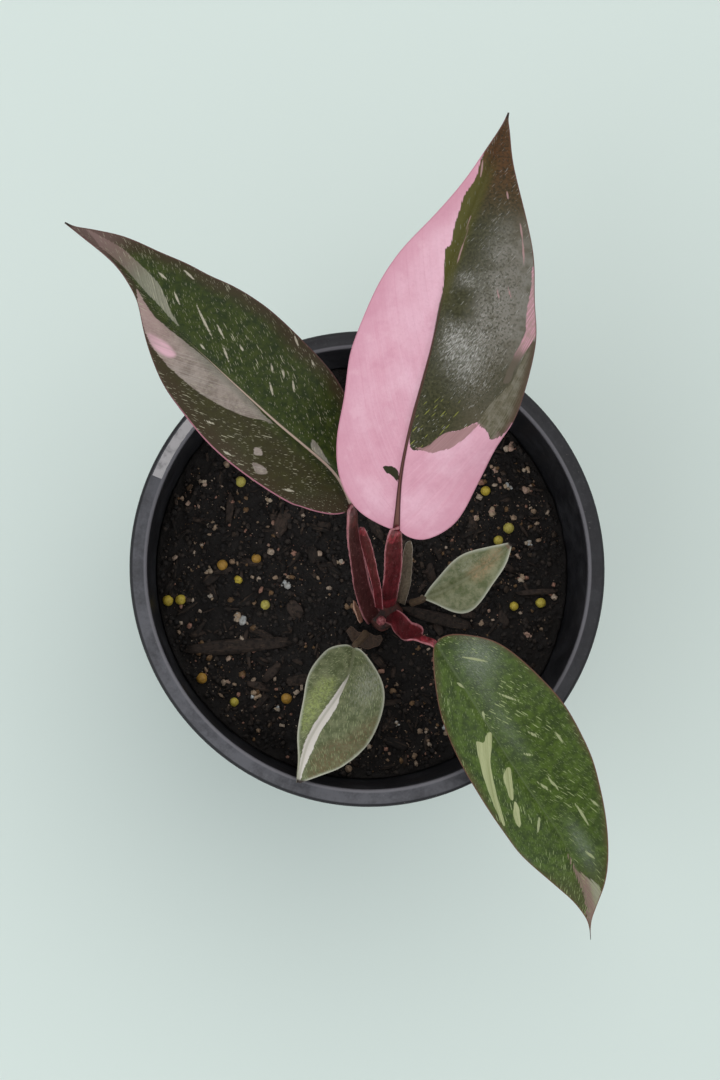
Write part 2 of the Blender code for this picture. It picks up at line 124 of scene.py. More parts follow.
# Blades, as in the CAD: rib, fold and curl of each half, and both edges in flat leaf coordinates
BLADES = {
    "blade_top": dict(
        rib=((1.5, 5, 160), (2, 18.5, 167), (4.5, 32, 172.5), (8, 45.5, 176), (11, 59, 177),
             (14.5, 70.5, 175.5), (19, 82, 172.5), (24, 94, 168), (28, 104, 163), (31, 113, 157)),
        fold=(10, 12), curl=(-17, -19), ripple=(0.9, 4.5, 0.1),
        left=((0, 0.6), (1, 3.5), (5, 10), (12, 15), (20, 17.2), (30, 17.8), (41, 19.2), (54, 17.5),
              (66, 14), (78, 8.8), (90, 5.2), (104, 2.6), (115, 0.6), (119.5, 0.12)),
        right=((0, 0.6), (-2, 3.5), (-2, 8.5), (3, 15.5), (14, 20.5), (26, 23), (36, 26.5), (48, 27.5),
               (60, 25.7), (75, 21), (87, 13.9), (102, 4.9), (115, 0.7), (119.5, 0.12)),
        rows=270, columns=48),
    "blade_left": dict(
        rib=((-8.5, 11.5, 148), (-12.5, 19.5, 151), (-21, 26.5, 154), (-29, 33, 155.5), (-40, 43, 155.5),
             (-49.5, 52, 154), (-56, 58.5, 152), (-62, 66.5, 149), (-68.5, 75, 145.5), (-75.5, 81, 141.5),
             (-82.5, 86.5, 137)),
        fold=(8, 10), curl=(-20, -15), ripple=(0.8, 4, 0.4),
        left=((0, 0.6), (-0.5, 2), (1, 6.3), (6, 11.5), (16, 14), (28, 15.5), (40, 15.6), (52, 13.8),
              (58, 12.2), (63, 10), (68, 7.3), (73, 4.6), (78, 2.6), (86, 1.4), (96, 1), (106, 0.4),
              (110, 0.12)),
        right=((0, 0.6), (4, 3), (8, 5.5), (12, 9.8), (20, 16.5), (32, 20), (48, 20.5), (62, 18.8),
               (75, 14.4), (86, 8.8), (95, 4.9), (103, 1.7), (107, 0.4), (110, 0.12)),
        rows=250, columns=42),
    "blade_low": dict(
        rib=((17, -21, 113), (20.5, -27, 115.5), (25.5, -35.5, 118.5), (33, -48, 120), (41, -60, 119),
             (49.5, -71.5, 116), (55, -81, 112), (59, -91.5, 106.5), (61, -102, 100)),
        fold=(8, -24), curl=(-14, -20), ripple=(0.8, 3.5, 0.2),
        left=((0, 0.6), (-0.5, 2.8), (2, 7.5), (9, 14.6), (20, 18.8), (35, 21.3), (49, 20), (60, 15.6),
              (72, 10.3), (80, 6.4), (86, 2.6), (89.5, 1), (93, 0.3), (97.5, 0.08)),
        right=((0, 0.6), (2, 2.2), (7.5, 5.8), (17, 10.4), (30, 13.3), (43, 14), (56, 14.4), (64, 14),
               (71, 11.8), (78, 7.8), (84, 3.8), (89, 1.2), (93, 0.28), (97.5, 0.08)),
        rows=220, columns=42),
    "blade_small_left": dict(
        rib=((-3.5, -21.5, 97), (-4.5, -28, 100.5), (-8, -34.5, 103.5), (-11.5, -39, 105.5),
             (-14.5, -43.5, 107), (-17, -47.5, 108), (-18.5, -53, 108.5), (-19.5, -58.5, 108.5)),
        fold=(12, 12), curl=(-22, -22), ripple=(0.3, 2, 0),
        left=((0, 0.5), (1.5, 2.8), (5, 6), (9, 10.6), (14, 13.2), (21, 14.6), (29, 13.3), (36, 10.8),
              (40, 5.5), (43, 0.4)),
        right=((0, 0.5), (-0.3, 2.3), (2.5, 7.7), (10.5, 10), (17.5, 9.7), (23, 7.1), (30, 4.2),
               (36, 1.4), (40, 0.7), (43, 0.4)),
        rows=100, columns=32),
    "blade_small_right": dict(
        rib=((16, -8, 97), (20.5, -6.5, 99.5), (25, -4, 101.5), (30, -1, 103), (35, 3, 103.5),
             (39.5, 7, 103)),
        fold=(15, 15), curl=(-22, -22), ripple=(0.2, 2, 0.3),
        left=((0, 0.5), (2.8, 2.5), (7, 4.3), (12, 6), (16, 6.3), (20, 5.2), (25, 2.7), (29, 0.4)),
        right=((0, 0.5), (3, 2.9), (5.5, 5.9), (8.5, 8.5), (12.5, 8), (18, 5.4), (24, 3.4), (29, 0.4)),
        rows=80, columns=24),
}
RIB_THICKNESS = 1.7
EDGE_THICKNESS = 0.5
EDGE_SMOOTHING = 1.2
RIB_POINTS = 400
RIB_SMOOTHING = 3.2
VEIN_SPACING = 4.6
TO_TIP = 55  # the larger, the less the side veins bend to the tip
HALVES_APART = 90  # so that the two halves don't mirror each other's pattern

# Drawn outlines of the coloured sectors, as (distance along the rib, distance to its right)
SECTORS = {
    "blade_top": {
        "dark": ((126, -0.5), (117, -0.5), (108, -2.5), (99, -3), (93, -2.5), (87, -3.5), (83, -3.2),
                 (78, -3), (73, -2.2), (71.5, -3), (67, -2), (62, -0.6), (56, -0.5), (47.5, -0.2),
                 (39, -0.3), (29, 0), (22, 1), (22.5, 5), (27, 8), (29, 12), (32, 16), (30, 19),
                 (28, 20.5), (31, 22), (29, 23.5), (34, 25), (33, 34), (60, 40), (126, 30)),
        "patch": ((77.5, 19.5), (72, 21), (66, 21.5), (60, 22), (57.5, 22.5), (53.5, 22), (50, 21),
                  (47, 20.5), (43, 20), (44, 22), (47, 22.3), (50, 23.5), (53.5, 25), (57.5, 26.5),
                  (63, 29), (72, 27)),
        "brown": ((43, 22), (50, 24), (55.5, 26), (54, 31), (40, 32), (30, 30), (31, 25), (28, 21),
                  (30, 19), (31, 17), (32, 16), (37.5, 18)),
        "grey": ((22, 2), (23, 5), (27, 8), (29, 12), (32, 16), (30, 15.5), (27, 13.5), (24, 11),
                 (21.5, 6)),
        "spot": ((16, -5), (16.5, -3), (16, -1.5), (14, -0.3), (12.5, -0.3), (14, -2), (15, -4)),
    },
    "blade_left": {
        "lens": ((80, -1), (75.5, -1.5), (71, -1.8), (66, -1.2), (61.5, -0.8), (54, -0.3), (48.5, -0.2),
                 (43, -0.2), (37.5, -0.4), (33, -0.8), (30, -1), (33, -2.2), (36, -4), (41, -6),
                 (46, -7.2), (50.5, -8), (56, -8.2), (60, -8.2), (65, -7.5), (69, -6.3), (72, -5),
                 (76.5, -3)),
        "upper": ((103, 1.5), (97, 2.2), (92, 3), (88, 3.3), (83, 3.8), (78.5, 4.2), (75.5, 4), (72, 3),
                  (68, 2), (64.5, 1), (68.5, 0.9), (73, 0.9), (78, 0.4), (84, 0.2), (90, 0), (97, 0)),
        "rosy": ((68.5, -6), (67, -5), (64, -4.4), (61.5, -4.5), (60, -5), (61, -6.4), (63.5, -7),
                 (66.5, -7)),
        "wedge": ((20.5, 2.4), (18, 2.3), (16, 1.6), (12.5, 0.6), (14, 0.3), (18, 0.4), (19.5, 1)),
        "blot": ((30, -9), (29.5, -8), (28, -8), (27.5, -9), (29, -10)),
        "blot_low": ((28, -12), (26.5, -11), (24, -11), (24, -12.2), (26, -13.3)),
    },
    "blade_low": {
        "cream": ((29, 5.5), (30, 3.5), (28.5, 1.5), (29, 0.3), (32, 2), (35, 4.6), (40, 7), (45, 9),
                  (52.5, 12), (52.5, 12.8), (47, 11.6), (40.5, 10), (35, 8)),
        "cream_low": ((39, 2), (39.5, 1), (42.5, 2.4), (47, 5), (47, 6), (44, 5.2), (40.5, 4)),
        "cream_tip": ((48, 5.5), (50, 5.3), (55, 8.2), (54.5, 9), (51, 8)),
        "tip": ((69, 0.6), (74, 0.2), (76, -1.2), (79, -3.2), (82, -4.5), (88, -3.5), (99, -2), (99, 1),
                (87.5, 0.6), (81, 0.5), (75, 1)),
    },
    "blade_small_left": {
        "streak": ((8.5, 0), (11, 0.4), (14.5, 0.8), (19, 0.9), (23.5, 1), (27, 1), (31, 0.9), (35, 0.7),
                   (43, 0.2), (43, -0.3), (39, -0.8), (33.5, -1.8), (28, -1.6), (23.5, -1.7), (19, -1.5),
                   (16.5, -0.7), (12.5, -0.2)),
        "brown": ((17, -10.5), (15, -13), (23, -16), (37, -13), (42, -3), (34.5, -2.5), (29, -5),
                  (25, -8)),
        "yellow": ((12, 3), (16, 2), (24, 1.6), (30, 2.2), (27, 5), (20, 6.5), (14, 6)),
    },
    "blade_small_right": {
        "tan": ((14, -1), (18.5, -2), (23, -2), (26, -1), (23, 1), (18.5, 2), (15, 2)),
        "tip": ((27, -3), (27.5, 0), (27, 3), (32, 4), (32, -4)),
    },
}

# The larger pale dashes, from one end to the other in the same coordinates
DASHES = {
    "blade_top": (((66, 12), (63, 13.5)), ((68, 14.5), (65, 16.5)), ((99, -2.5), (94, -1.5)),
                  ((93, 6), (91, 7)), ((83, 0), (75, 0.6)), ((75, 0.6), (66, 1.2)), ((86, 12), (82, 14)),
                  ((82, 14), (76, 17))),
    "blade_left": (((80, 6), (77, 6.5)), ((76.5, 11.5), (72.5, 12)), ((73, 6), (69, 5)),
                   ((65.5, 8), (56, 4.5)), ((58, 8), (54, 6.5)), ((53, 5), (49, 3)), ((50, 8), (48, 7.4)),
                   ((41, 10), (39, 8.5)), ((38, 11), (36, 9.5)), ((38, 6.2), (35, 4.2)),
                   ((34, 10.5), (31.5, 8.5)), ((58, 1.6), (55, 1)), ((42, 20), (39, 18.5)),
                   ((34, 18), (32, 17)), ((43.5, -12), (41, -11)), ((35, -14.5), (33, -14)),
                   ((18, -12), (15, -10.5))),
    "blade_low": (((7.5, -4), (12, -9)), ((21, -7), (25.5, -10.5)), ((22.5, -1), (25, 0)),
                  ((33.5, -8), (37, -10)), ((37.5, -14.5), (43, -15)), ((38, -4), (40, -6)),
                  ((46.5, -3), (51, -4.5)), ((47, -6), (52, -6.5)), ((57.5, -8), (64.5, -8)),
                  ((59, -12), (62, -13)), ((55, 2), (59, 5)), ((70, -4), (73, -5.5)),
                  ((12.5, 1), (15, 0))),
}
DASH_HALF_WIDTH = {"blade_top": 0.28, "blade_left": 0.3, "blade_low": 0.38}

# Half the width of the line that the rib draws, negative where it fades out, at distances along the rib
RIB_LINE = {
    "blade_top": ((-3, 0, 6, 12, 34, 58, 66, 120), (1.2, 0.9, 0.6, 0.42, 0.3, 0.06, -0.15, -0.3)),
    "blade_left": ((-3, 0, 30, 50, 62, 110), (0.36, 0.28, 0.2, 0.06, -0.1, -0.2)),
}
PLAIN_RIB_LINE = ((-3, 0, 20, 60), (0.6, 0.4, 0.25, 0.1))

# Where a painted sheen lies on the leaf's skin: the middle along and across, the spread of both, and how much
PAINTED_SHEEN_SPOTS = {
    "blade_top": ((65, 4, 3.5, 3.5, 0.4), (59, 5, 3.2, 2.6, -0.9), (50, 3.5, 9, 4, 0.45),
                  (46, 9, 9, 5, 0.35), (60, 13, 20, 9, 0.4), (41, 15, 9, 7, 0.2), (80, 7, 11, 5, 0.25)),
    "blade_low": ((9, -8, 9, 7, 0.8), (30, -4, 16, 3.5, 0.5), (68, -4, 10, 3, 0.65)),
    "blade_left": ((40, 8, 25, 6, 0.15),),
    "blade_small_left": ((10, -6, 9, 6, 0.7), (36, 2, 6, 4, 0.4)),
    "blade_small_right": ((16, -3, 8, 3, 0.5),),
}

# Stalks and scales, close to those in the CAD: the way the channel faces, then points along the middle, each
# with its width, its depth and the channel's share of that. The wing beside the left stalk is not in the CAD.
STALKS = {
    "stalk_top": ((0.1, -1, 0.2), (
        (5.8, -10.4, 89.5, 5, 4.2, 0.2), (6, -8.6, 95.2, 5, 4.2, 0.2), (5.4, -6, 108, 4.6, 3.8, 0.35),
        (4.3, -2.5, 125, 4.7, 3.4, 0.4), (2.6, 1.3, 143, 4.6, 3.2, 0.35), (1.3, 4.1, 158.6, 3.3, 2.6, 0.15))),
    "stalk_left": ((0.8, -1, 0.5), (
        (3, -13.4, 90.5, 5, 4.2, 0.4), (1.2, -12, 96, 5, 4.2, 0.4), (-2, -6.5, 108, 5, 3.8, 0.6),
        (-5, 0, 125, 4.4, 3.4, 0.5), (-7.3, 5.5, 138, 3.6, 3, 0.35), (-8.4, 10.2, 147.3, 2.8, 2.6, 0.1))),
    "stalk_low": ((0, 0.3, 1), (
        (5.4, -12, 92, 5, 3.8, 0.5), (8.4, -13.6, 95.4, 5, 3.8, 0.5), (10, -16.2, 99.5, 6, 4, 0.7),
        (12.2, -18, 103.5, 6.2, 3.4, 0.7), (13.1, -18.9, 105.3, 3, 2.8, 0.4),
        (14.4, -19.9, 107.6, 2.2, 2.4, 0.2), (16.2, -20.7, 111.2, 2.2, 2.2, 0.1))),
    "stalk_small_left": ((0, 0, 1), (
        (0.3, -17.3, 92.2, 2.2, 2, 0.1), (-1.5, -19.4, 94.2, 2, 1.8, 0.1), (-3, -20.9, 95.7, 1.8, 1.6, 0.1))),
    "stalk_small_right": ((0, 0, 1), (
        (12.9, -9, 92.2, 2.2, 2, 0.1), (14.2, -8.7, 94.4, 2, 1.8, 0.1), (15.6, -8.2, 96.3, 1.8, 1.6, 0.1))),
    "stalk_left_wing": ((-0.5, -1, 0.6), (
        (3.1, -11.1, 100, 2.4, 1.6, 0.4), (1.4, -6.5, 111, 2.6, 1.5, 0.45),
        (-0.8, -1.9, 121, 2.9, 1.4, 0.45), (-2.9, 2.6, 130, 3.3, 1.3, 0.35),
        (-4.3, 5.2, 135.5, 3, 1.1, 0.3), (-5.1, 7.2, 139.5, 1.5, 0.8, 0.1))),
    "sheath": ((-0.4, -0.5, 1), (
        (9.7, -9.2, 93, 2.8, 1.6, 0.5), (9.7, -4.4, 106, 3, 1.5, 0.55), (9.2, 0.4, 115, 2.9, 1.3, 0.5),
        (9, 4.3, 121.3, 2, 0.9, 0.3), (9.2, 5.4, 122.9, 0.5, 0.4, 0.1))),
    "dry_scale_left": ((1, 0, 0.6), (
        (-0.9, -14.4, 91.6, 2, 1.4, 0.4), (-1.9, -11.5, 92.4, 3.2, 2, 0.5), (-3, -8.4, 91.4, 1.4, 1.4, 0.4))),
    "dry_scale_low": ((0, 0, 1), (
        (-4.6, -16.2, 89.8, 1.6, 1.3, 0.4), (-1.6, -18.8, 89.9, 4, 2.2, 0.55),
        (2, -19.6, 89.9, 4, 2.2, 0.55), (5, -18.6, 89.8, 1.4, 1.3, 0.4))),
}
SECTION_SIDES = 32
STALK_STEPS = 14  # from one of these points to the next
JOINED_TO_BLADE = 3.5  # how far a leaf's stalk runs on under its blade

# Camera: almost straight above, 620 mm from the rim's centre
CAMERA = Vector((-57.95, -48.43, 720.38))
CAMERA_TARGET = Vector((-2.6, 7.25, 105))
LENS = 75.95
FLOOR_SIZE = 4000

PINK = (0.67, 0.345, 0.43)
LIGHT_PINK = (0.80, 0.52, 0.60)
PALE_PINK = (0.75, 0.45, 0.54)
DEEP_PINK = (0.57, 0.255, 0.335)
OLIVE = (0.024, 0.025, 0.009)
PALE_OLIVE = (0.058, 0.055, 0.024)
YELLOW_OLIVE = (0.085, 0.080, 0.012)
TAUPE = (0.112, 0.090, 0.064)
TIP_BROWN = (0.092, 0.036, 0.008)
GLINT_AND_FLECK_GREY = (0.50, 0.49, 0.46)
DULL_SHEEN_GREY = (0.20, 0.19, 0.165)
ROSE_GREY = (0.40, 0.24, 0.235)
TIP_DARK = (0.022, 0.012, 0.008)
MAROON = (0.055, 0.012, 0.012)
DARK_GREEN = (0.019, 0.030, 0.008)
FRESH_GREEN = (0.040, 0.055, 0.010)
LEAF_BROWN = (0.043, 0.030, 0.015)
SECTOR_GREY = (0.31, 0.26, 0.225)
FLECK = (0.40, 0.38, 0.27)
CREAM = (0.40, 0.42, 0.22)
LIT_GREEN = (0.066, 0.108, 0.015)
DEEP_GREEN = (0.030, 0.050, 0.009)
SHEEN = (0.13, 0.155, 0.12)


class Skin:
    """A material whose colour builds up in layers. An input is a socket, a value or an attribute's name."""

    def __init__(self, name, gloss=0.5):
        self.material = bpy.data.materials.new(name)
        self.material.use_nodes = True
        self.tree = self.material.node_tree
        self.shader = self.tree.nodes["Principled BSDF"]
        self.shader.inputs["Specular IOR Level"].default_value = gloss
        self.place = self.scaled(self.node("TexCoord")["Object"], (1000, 1000, 1000))  # in millimetres
        self.veins = self.node("Attribute", attribute_name="vein")["Vector"]

    def put(self, value, socket):
        if isinstance(value, str):
            value = self.node("Attribute", attribute_name=value)["Fac"]
        if isinstance(value, bpy.types.NodeSocket):
            self.tree.links.new(value, socket)
        elif socket.type == "RGBA":
            socket.default_value = (*value, 1)
        else:
            socket.default_value = value

    def node(self, kind, inputs=None, **settings):
        made = self.tree.nodes.new("ShaderNode" + kind)
        for key, value in settings.items():
            setattr(made, key, value)
        for key, value in (inputs or {}).items():
            self.put(value, made.inputs[key])
        return made.outputs

    def vector(self, operation, a, b=(0, 0, 0)):
        return self.node("VectorMath", {0: a, 1: b}, operation=operation)

    def scaled(self, vector, factors):
        return self.vector("MULTIPLY", vector, factors)[0]

    def shifted(self, vector, amount):
        return self.vector("ADD", vector, (amount, amount, 0))[0]

    def noise(self, scale, detail=3, rough=0.55, at=None):
        inputs = {"Vector": at or self.place, "Scale": scale, "Detail": detail, "Roughness": rough}
        return self.node("TexNoise", inputs)["Fac"]

    def math(self, operation, a, b):
        return self.node("Math", {0: a, 1: b}, operation=operation)[0]

    def add(self, a, b):
        return self.math("ADD", a, b)

    def times(self, first, *others):
        for other in others:
            first = self.math("MULTIPLY", first, other)
        return first

    def ramp(self, value, low, high, to_low=0, to_high=1):
        inputs = {"Value": value, "From Min": low, "From Max": high, "To Min": to_low, "To Max": to_high}
        return self.node("MapRange", inputs, interpolation_type="SMOOTHSTEP")["Result"]

    def height_of(self, vector):
        return self.node("SeparateXYZ", {0: vector})["Z"]

    def mix(self, factor, a, b):
        return self.node("Mix", {0: factor, 6: a, 7: b}, data_type="RGBA")[2]

    def over(self, mask, colour, strength=1):
        """Lays a colour over those so far, where the mask says."""
        if strength != 1:
            mask = self.times(mask, strength)
        self.colour = self.mix(mask, self.colour, colour)

    def bump(self, height, distance, strength=1):
        """Bump of a height from 0 to 1, its distance in millimetres. Calls build on one another."""
        inputs = {"Height": height, "Distance": distance * MM, "Strength": strength}
        normal = self.shader.inputs["Normal"]
        if normal.links:
            inputs["Normal"] = normal.links[0].from_socket
        self.put(self.node("Bump", inputs)["Normal"], normal)

    def finish(self, grain, low, high, top=0.7):
        """The finished material. Its roughness goes from low to high with the grain."""
        self.put(self.colour, self.shader.inputs["Base Color"])
        self.put(self.ramp(grain, 0.3, top, low, high), self.shader.inputs["Roughness"])
        return self.material

    def finish_even(self, roughness):
        self.put(self.colour, self.shader.inputs["Base Color"])
        self.put(roughness, self.shader.inputs["Roughness"])
        return self.material


def darker(colour, factor):
    return tuple(factor * c for c in colour)


# Leaf materials


def strands(n, width=0.9, seed=0):
    """Soft stripes along the side veins."""
    return n.noise(1, 3, 0.6, n.shifted(n.scaled(n.veins, (1 / width, 0.05, 1)), seed))


def inside(n, sector, reach, seed):
    """1 inside a sector's outline, whose edge runs out in small teeth along the side veins."""
    teeth = n.noise(1, 3, 0.6, n.shifted(n.scaled(n.veins, (1.1, 0.3, 1)), seed))
    return n.ramp(n.add(sector, n.times(n.add(teeth, -0.5), 2 * reach)), -0.1, 0.1)


def dashes(n, width, length, share, seed):
    """Small pale dashes along the side veins, at most one to a cell, and in that share of the cells."""
    spot = n.shifted(n.scaled(n.veins, (1 / width, 1 / length, 0)), seed)
    wobble = n.node("TexNoise", {"Vector": n.place, "Scale": 1.3, "Detail": 2})["Color"]
    spot = n.vector("ADD", n.scaled(wobble, (0.5, 0.5, 0)), spot)[0]
    cell = n.node("TexVoronoi", {"Vector": spot, "Scale": 1}, voronoi_dimensions="2D")
    chance = n.node("SeparateColor", {0: cell["Color"]})[0]
    size = n.math("MINIMUM", n.times(n.add(chance, n.add(share, -1)), 0.75), 0.36)
    return n.ramp(n.math("SUBTRACT", size, cell["Distance"]), 0, 0.07)


def painted_sheen(n, low, high):
    """A painted sheen, broken into fine scratches along the side veins."""
    grain = n.noise(1, 5, 0.8, n.scaled(n.veins, (2.7, 1.9, 1)))
    return n.ramp(n.add(grain, n.times("painted_sheen", 0.3)), low, high)


def lines(n, rib_colour, margin_colour, rib_strength=1):
    """Draws the rib, the thin coloured margin and the dark tip over the leaf's colour."""
    n.over(n.ramp("rib", -0.14, 0.1), rib_colour, rib_strength)
    n.over(n.ramp("edge", 0.15, 0.5, 0.9, 0), margin_colour)
    n.over(n.ramp("to_tip", 0.032, 0.012), TIP_DARK)


def leaf_finish(n, low, high):
    n.bump(strands(n, 0.5), 0.1, 0.5)
    n.bump(n.noise(2.2, 4, 0.65), 0.1, 0.8)
    return n.finish(n.noise(0.9, 5, 0.7), low, high)


def pink_skin(n):
    n.colour = n.mix(n.ramp(n.noise(0.05), 0.35, 0.65), PINK, PALE_PINK)
    stripes = strands(n)
    n.over(n.ramp(stripes, 0.45, 0.75, 0, 0.5), PALE_PINK)
    n.over(n.ramp(stripes, 0.45, 0.25, 0, 0.3), DEEP_PINK)
    # Painted shade: deeper pink towards the margin, where the blade curls down.
    n.over(n.ramp("edge", 7, 0, 0, 0.6), DEEP_PINK)
    blotches = n.noise(0.16, 4, 0.6, n.shifted(n.place, 9))
    n.over(n.ramp(blotches, 0.5, 0.72, 0, 0.4), DEEP_PINK)
    n.over(n.ramp(blotches, 0.46, 0.3, 0, 0.3), LIGHT_PINK)
    n.over(n.ramp(n.noise(1.4), 0.4, 0.7, 0, 0.18), DEEP_PINK)


def dark_skin(n):
    """Olive, yellower by the rib and brown at the tip, under a painted sheen: taupe towards the margin, grey
    veils and grey glints.
    """
    fine = n.noise(1.5, 4, 0.7)
    n.colour = n.mix(n.ramp(fine, 0.35, 0.65), OLIVE, PALE_OLIVE)
    clouds = n.ramp(n.noise(0.12), 0.3, 0.6, 0.4, 1)
    # Painted sheen: paler taupe towards the margin.
    n.over(n.times(n.ramp("across", 6, 17), clouds), n.mix(fine, PALE_OLIVE, TAUPE))
    brown = n.mix(n.ramp(fine, 0.35, 0.6), (0.028, 0.017, 0.005), TIP_BROWN)
    n.over(n.ramp("along", 78, 104, 0, 0.95), brown)
    by_rib = n.times(n.ramp("across", 2.5, -0.5), n.ramp("along", 52, 66), n.ramp("along", 104, 92))
    n.over(by_rib, YELLOW_OLIVE, 0.8)
    patches = n.ramp(n.noise(0.22, 4, at=n.shifted(n.place, 3)), 0.3, 0.6, 0.3, 1)
    # Painted sheen: a broad grey veil over the middle of the right part.
    veil = n.times(n.ramp("across", 4, 12), n.ramp("along", 44, 56), n.ramp("along", 92, 76), patches)
    n.over(veil, n.mix(fine, DULL_SHEEN_GREY, (0.29, 0.27, 0.24)), 0.7)
    # Painted sheen: dull grey where the sheen spots lie, in stripes along the side veins.
    dull = n.times(n.ramp("painted_sheen", 0.05, 0.7, 0, 0.8), n.ramp(strands(n, 1.6, 2), 0.35, 0.65, 0.45, 1))
    n.over(dull, DULL_SHEEN_GREY, 0.6)
    # Dark specks that break up the painted sheen.
    specks = n.ramp(n.noise(1.6, at=n.shifted(n.place, 5)), 0.5, 0.62)
    n.over(n.times(specks, n.ramp("painted_sheen", 0.05, 0.4)), (0.034, 0.033, 0.016), 0.7)
    # Painted highlights: pale grey glints in fine scratches where the sheen is strongest.
    n.over(painted_sheen(n, 0.68, 0.78), GLINT_AND_FLECK_GREY, 0.9)
    n.over(dashes(n, 0.5, 1.3, 0.3, 3), GLINT_AND_FLECK_GREY, 0.7)
    at_foot = n.times(n.ramp("along", 42, 30), 0.45)
    n.over(dashes(n, 0.9, 1.8, at_foot, 8), (0.19, 0.20, 0.04))


def pink_leaf():
    n = Skin("leaf_half_pink", 0.17)
    pink_skin(n)
    pink = n.colour
    dark_skin(n)
    n.colour = n.mix(inside(n, "dark", 0.6, 3), pink, n.colour)
    stripes, mottle = strands(n, 0.6, 4), n.noise(0.45, 5, 0.7)
    brown = n.mix(n.ramp(stripes, 0.3, 0.7), PALE_OLIVE, (0.175, 0.150, 0.105))
    brown = n.mix(n.ramp(mottle, 0.42, 0.62, 0, 0.6), brown, (0.225, 0.205, 0.16))
    brown = n.mix(n.ramp("edge", 3.2, 0.8, 0, 0.85), brown, (0.072, 0.042, 0.022))
    n.over(inside(n, "brown", 1, 9), brown, 0.92)
    rosy = n.mix(n.ramp(stripes, 0.35, 0.65), (0.30, 0.19, 0.17), PINK)
    rosy = n.mix(n.ramp(mottle, 0.45, 0.6, 0, 0.6), rosy, (0.33, 0.23, 0.20))
    n.over(inside(n, "patch", 0.5, 5), n.mix(n.ramp("along", 54, 48), rosy, TAUPE))
    n.over(inside(n, "grey", 0.6, 7), n.mix(stripes, (0.20, 0.10, 0.09), ROSE_GREY), 0.9)
    n.over(inside(n, "spot", 0.5, 4), OLIVE)
    n.over(inside(n, "dash", 0.1, 6), ROSE_GREY, 0.85)
    rib_colour = n.mix(n.ramp("along", 30, 8), (0.075, 0.035, 0.025), MAROON)
    lines(n, rib_colour, n.mix(n.ramp("dark", -0.2, 0.2), (0.52, 0.23, 0.30), (0.13, 0.055, 0.045)))
    n.over(n.ramp("rib", 0.22, 0.4, 0, 0.5), (0.26, 0.13, 0.10))
    return leaf_finish(n, 0.36, 0.55)


def dark_leaf():
    n = Skin("leaf_dark", 0.13)
    n.colour = n.mix(n.ramp(n.noise(0.5, 5, 0.7), 0.35, 0.65), DARK_GREEN, FRESH_GREEN)
    n.over(n.ramp(n.add("edge", n.times(n.noise(0.12), 6)), 9, 3.5, 0, 0.95), LEAF_BROWN)
    n.over(n.ramp("across", 1, -5), LEAF_BROWN, 0.65)
    n.over(n.ramp("along", 12, 0, 0, 0.8), LEAF_BROWN)
    n.over(n.ramp("along", 88, 98, 0, 0.85), (0.12, 0.075, 0.065))
    grey_sectors(n)
    rosy = n.times(n.ramp("rosy", -0.7, 0.5), n.ramp(strands(n, 0.8, 7), 0.3, 0.55, 0.6, 1))
    n.over(n.times(rosy, n.ramp("along", 69, 63, 0.45, 1)), (0.64, 0.39, 0.45))
    # Painted sheen: grey-green glints in fine scratches.
    n.over(painted_sheen(n, 0.68, 0.78), SHEEN, 0.4)
    many = n.ramp(n.noise(0.09, 2), 0.35, 0.65, 0.05, 0.4)
    n.over(dashes(n, 0.8, 1.7, many, 1), FLECK, 0.75)
    n.over(dashes(n, 0.42, 0.7, 0.42, 6), FLECK, 0.55)
    n.over(inside(n, "dash", 0.12, 2), (0.46, 0.42, 0.33), 0.85)
    lines(n, (0.50, 0.38, 0.31), (0.10, 0.045, 0.04))
    margin = n.times(n.ramp("across", -2, -3), n.ramp("edge", 0.45, 0.25), n.ramp("along", 58, 42, 0, 0.85))
    n.over(margin, (0.43, 0.17, 0.22))
    return leaf_finish(n, 0.3, 0.5)


def grey_sectors(n):
    """The dark leaf's pale sectors: the upper one is sage, the others are grey and rosier to the tip."""
    grey = n.mix(n.ramp(n.noise(0.35, 6, 0.72), 0.35, 0.65), (0.185, 0.15, 0.125), SECTOR_GREY)
    grey = n.mix(n.ramp(strands(n, 0.7, 5), 0.45, 0.7, 0, 0.45), grey, (0.40, 0.36, 0.33))
    grey = n.mix(n.times(n.ramp("across", -3, -0.8), 0.5), grey, (0.19, 0.19, 0.15))
    grey = n.mix(n.ramp("along", 52, 74, 0, 0.45), grey, ROSE_GREY)
    sage = n.mix(n.ramp(strands(n, 0.5, 3), 0.35, 0.65), (0.165, 0.165, 0.115), (0.27, 0.26, 0.20))
    sage = n.mix(n.ramp("along", 80, 92), sage, (0.25, 0.165, 0.15))
    strength = n.ramp("along", 74, 96, 0.95, 0.5)
    for number, sector in enumerate(("lens", "upper", "wedge", "blot", "blot_low")):
        tone = sage if sector == "upper" else grey
        n.over(n.times(inside(n, sector, 0.45, 3 * number), strength), tone)


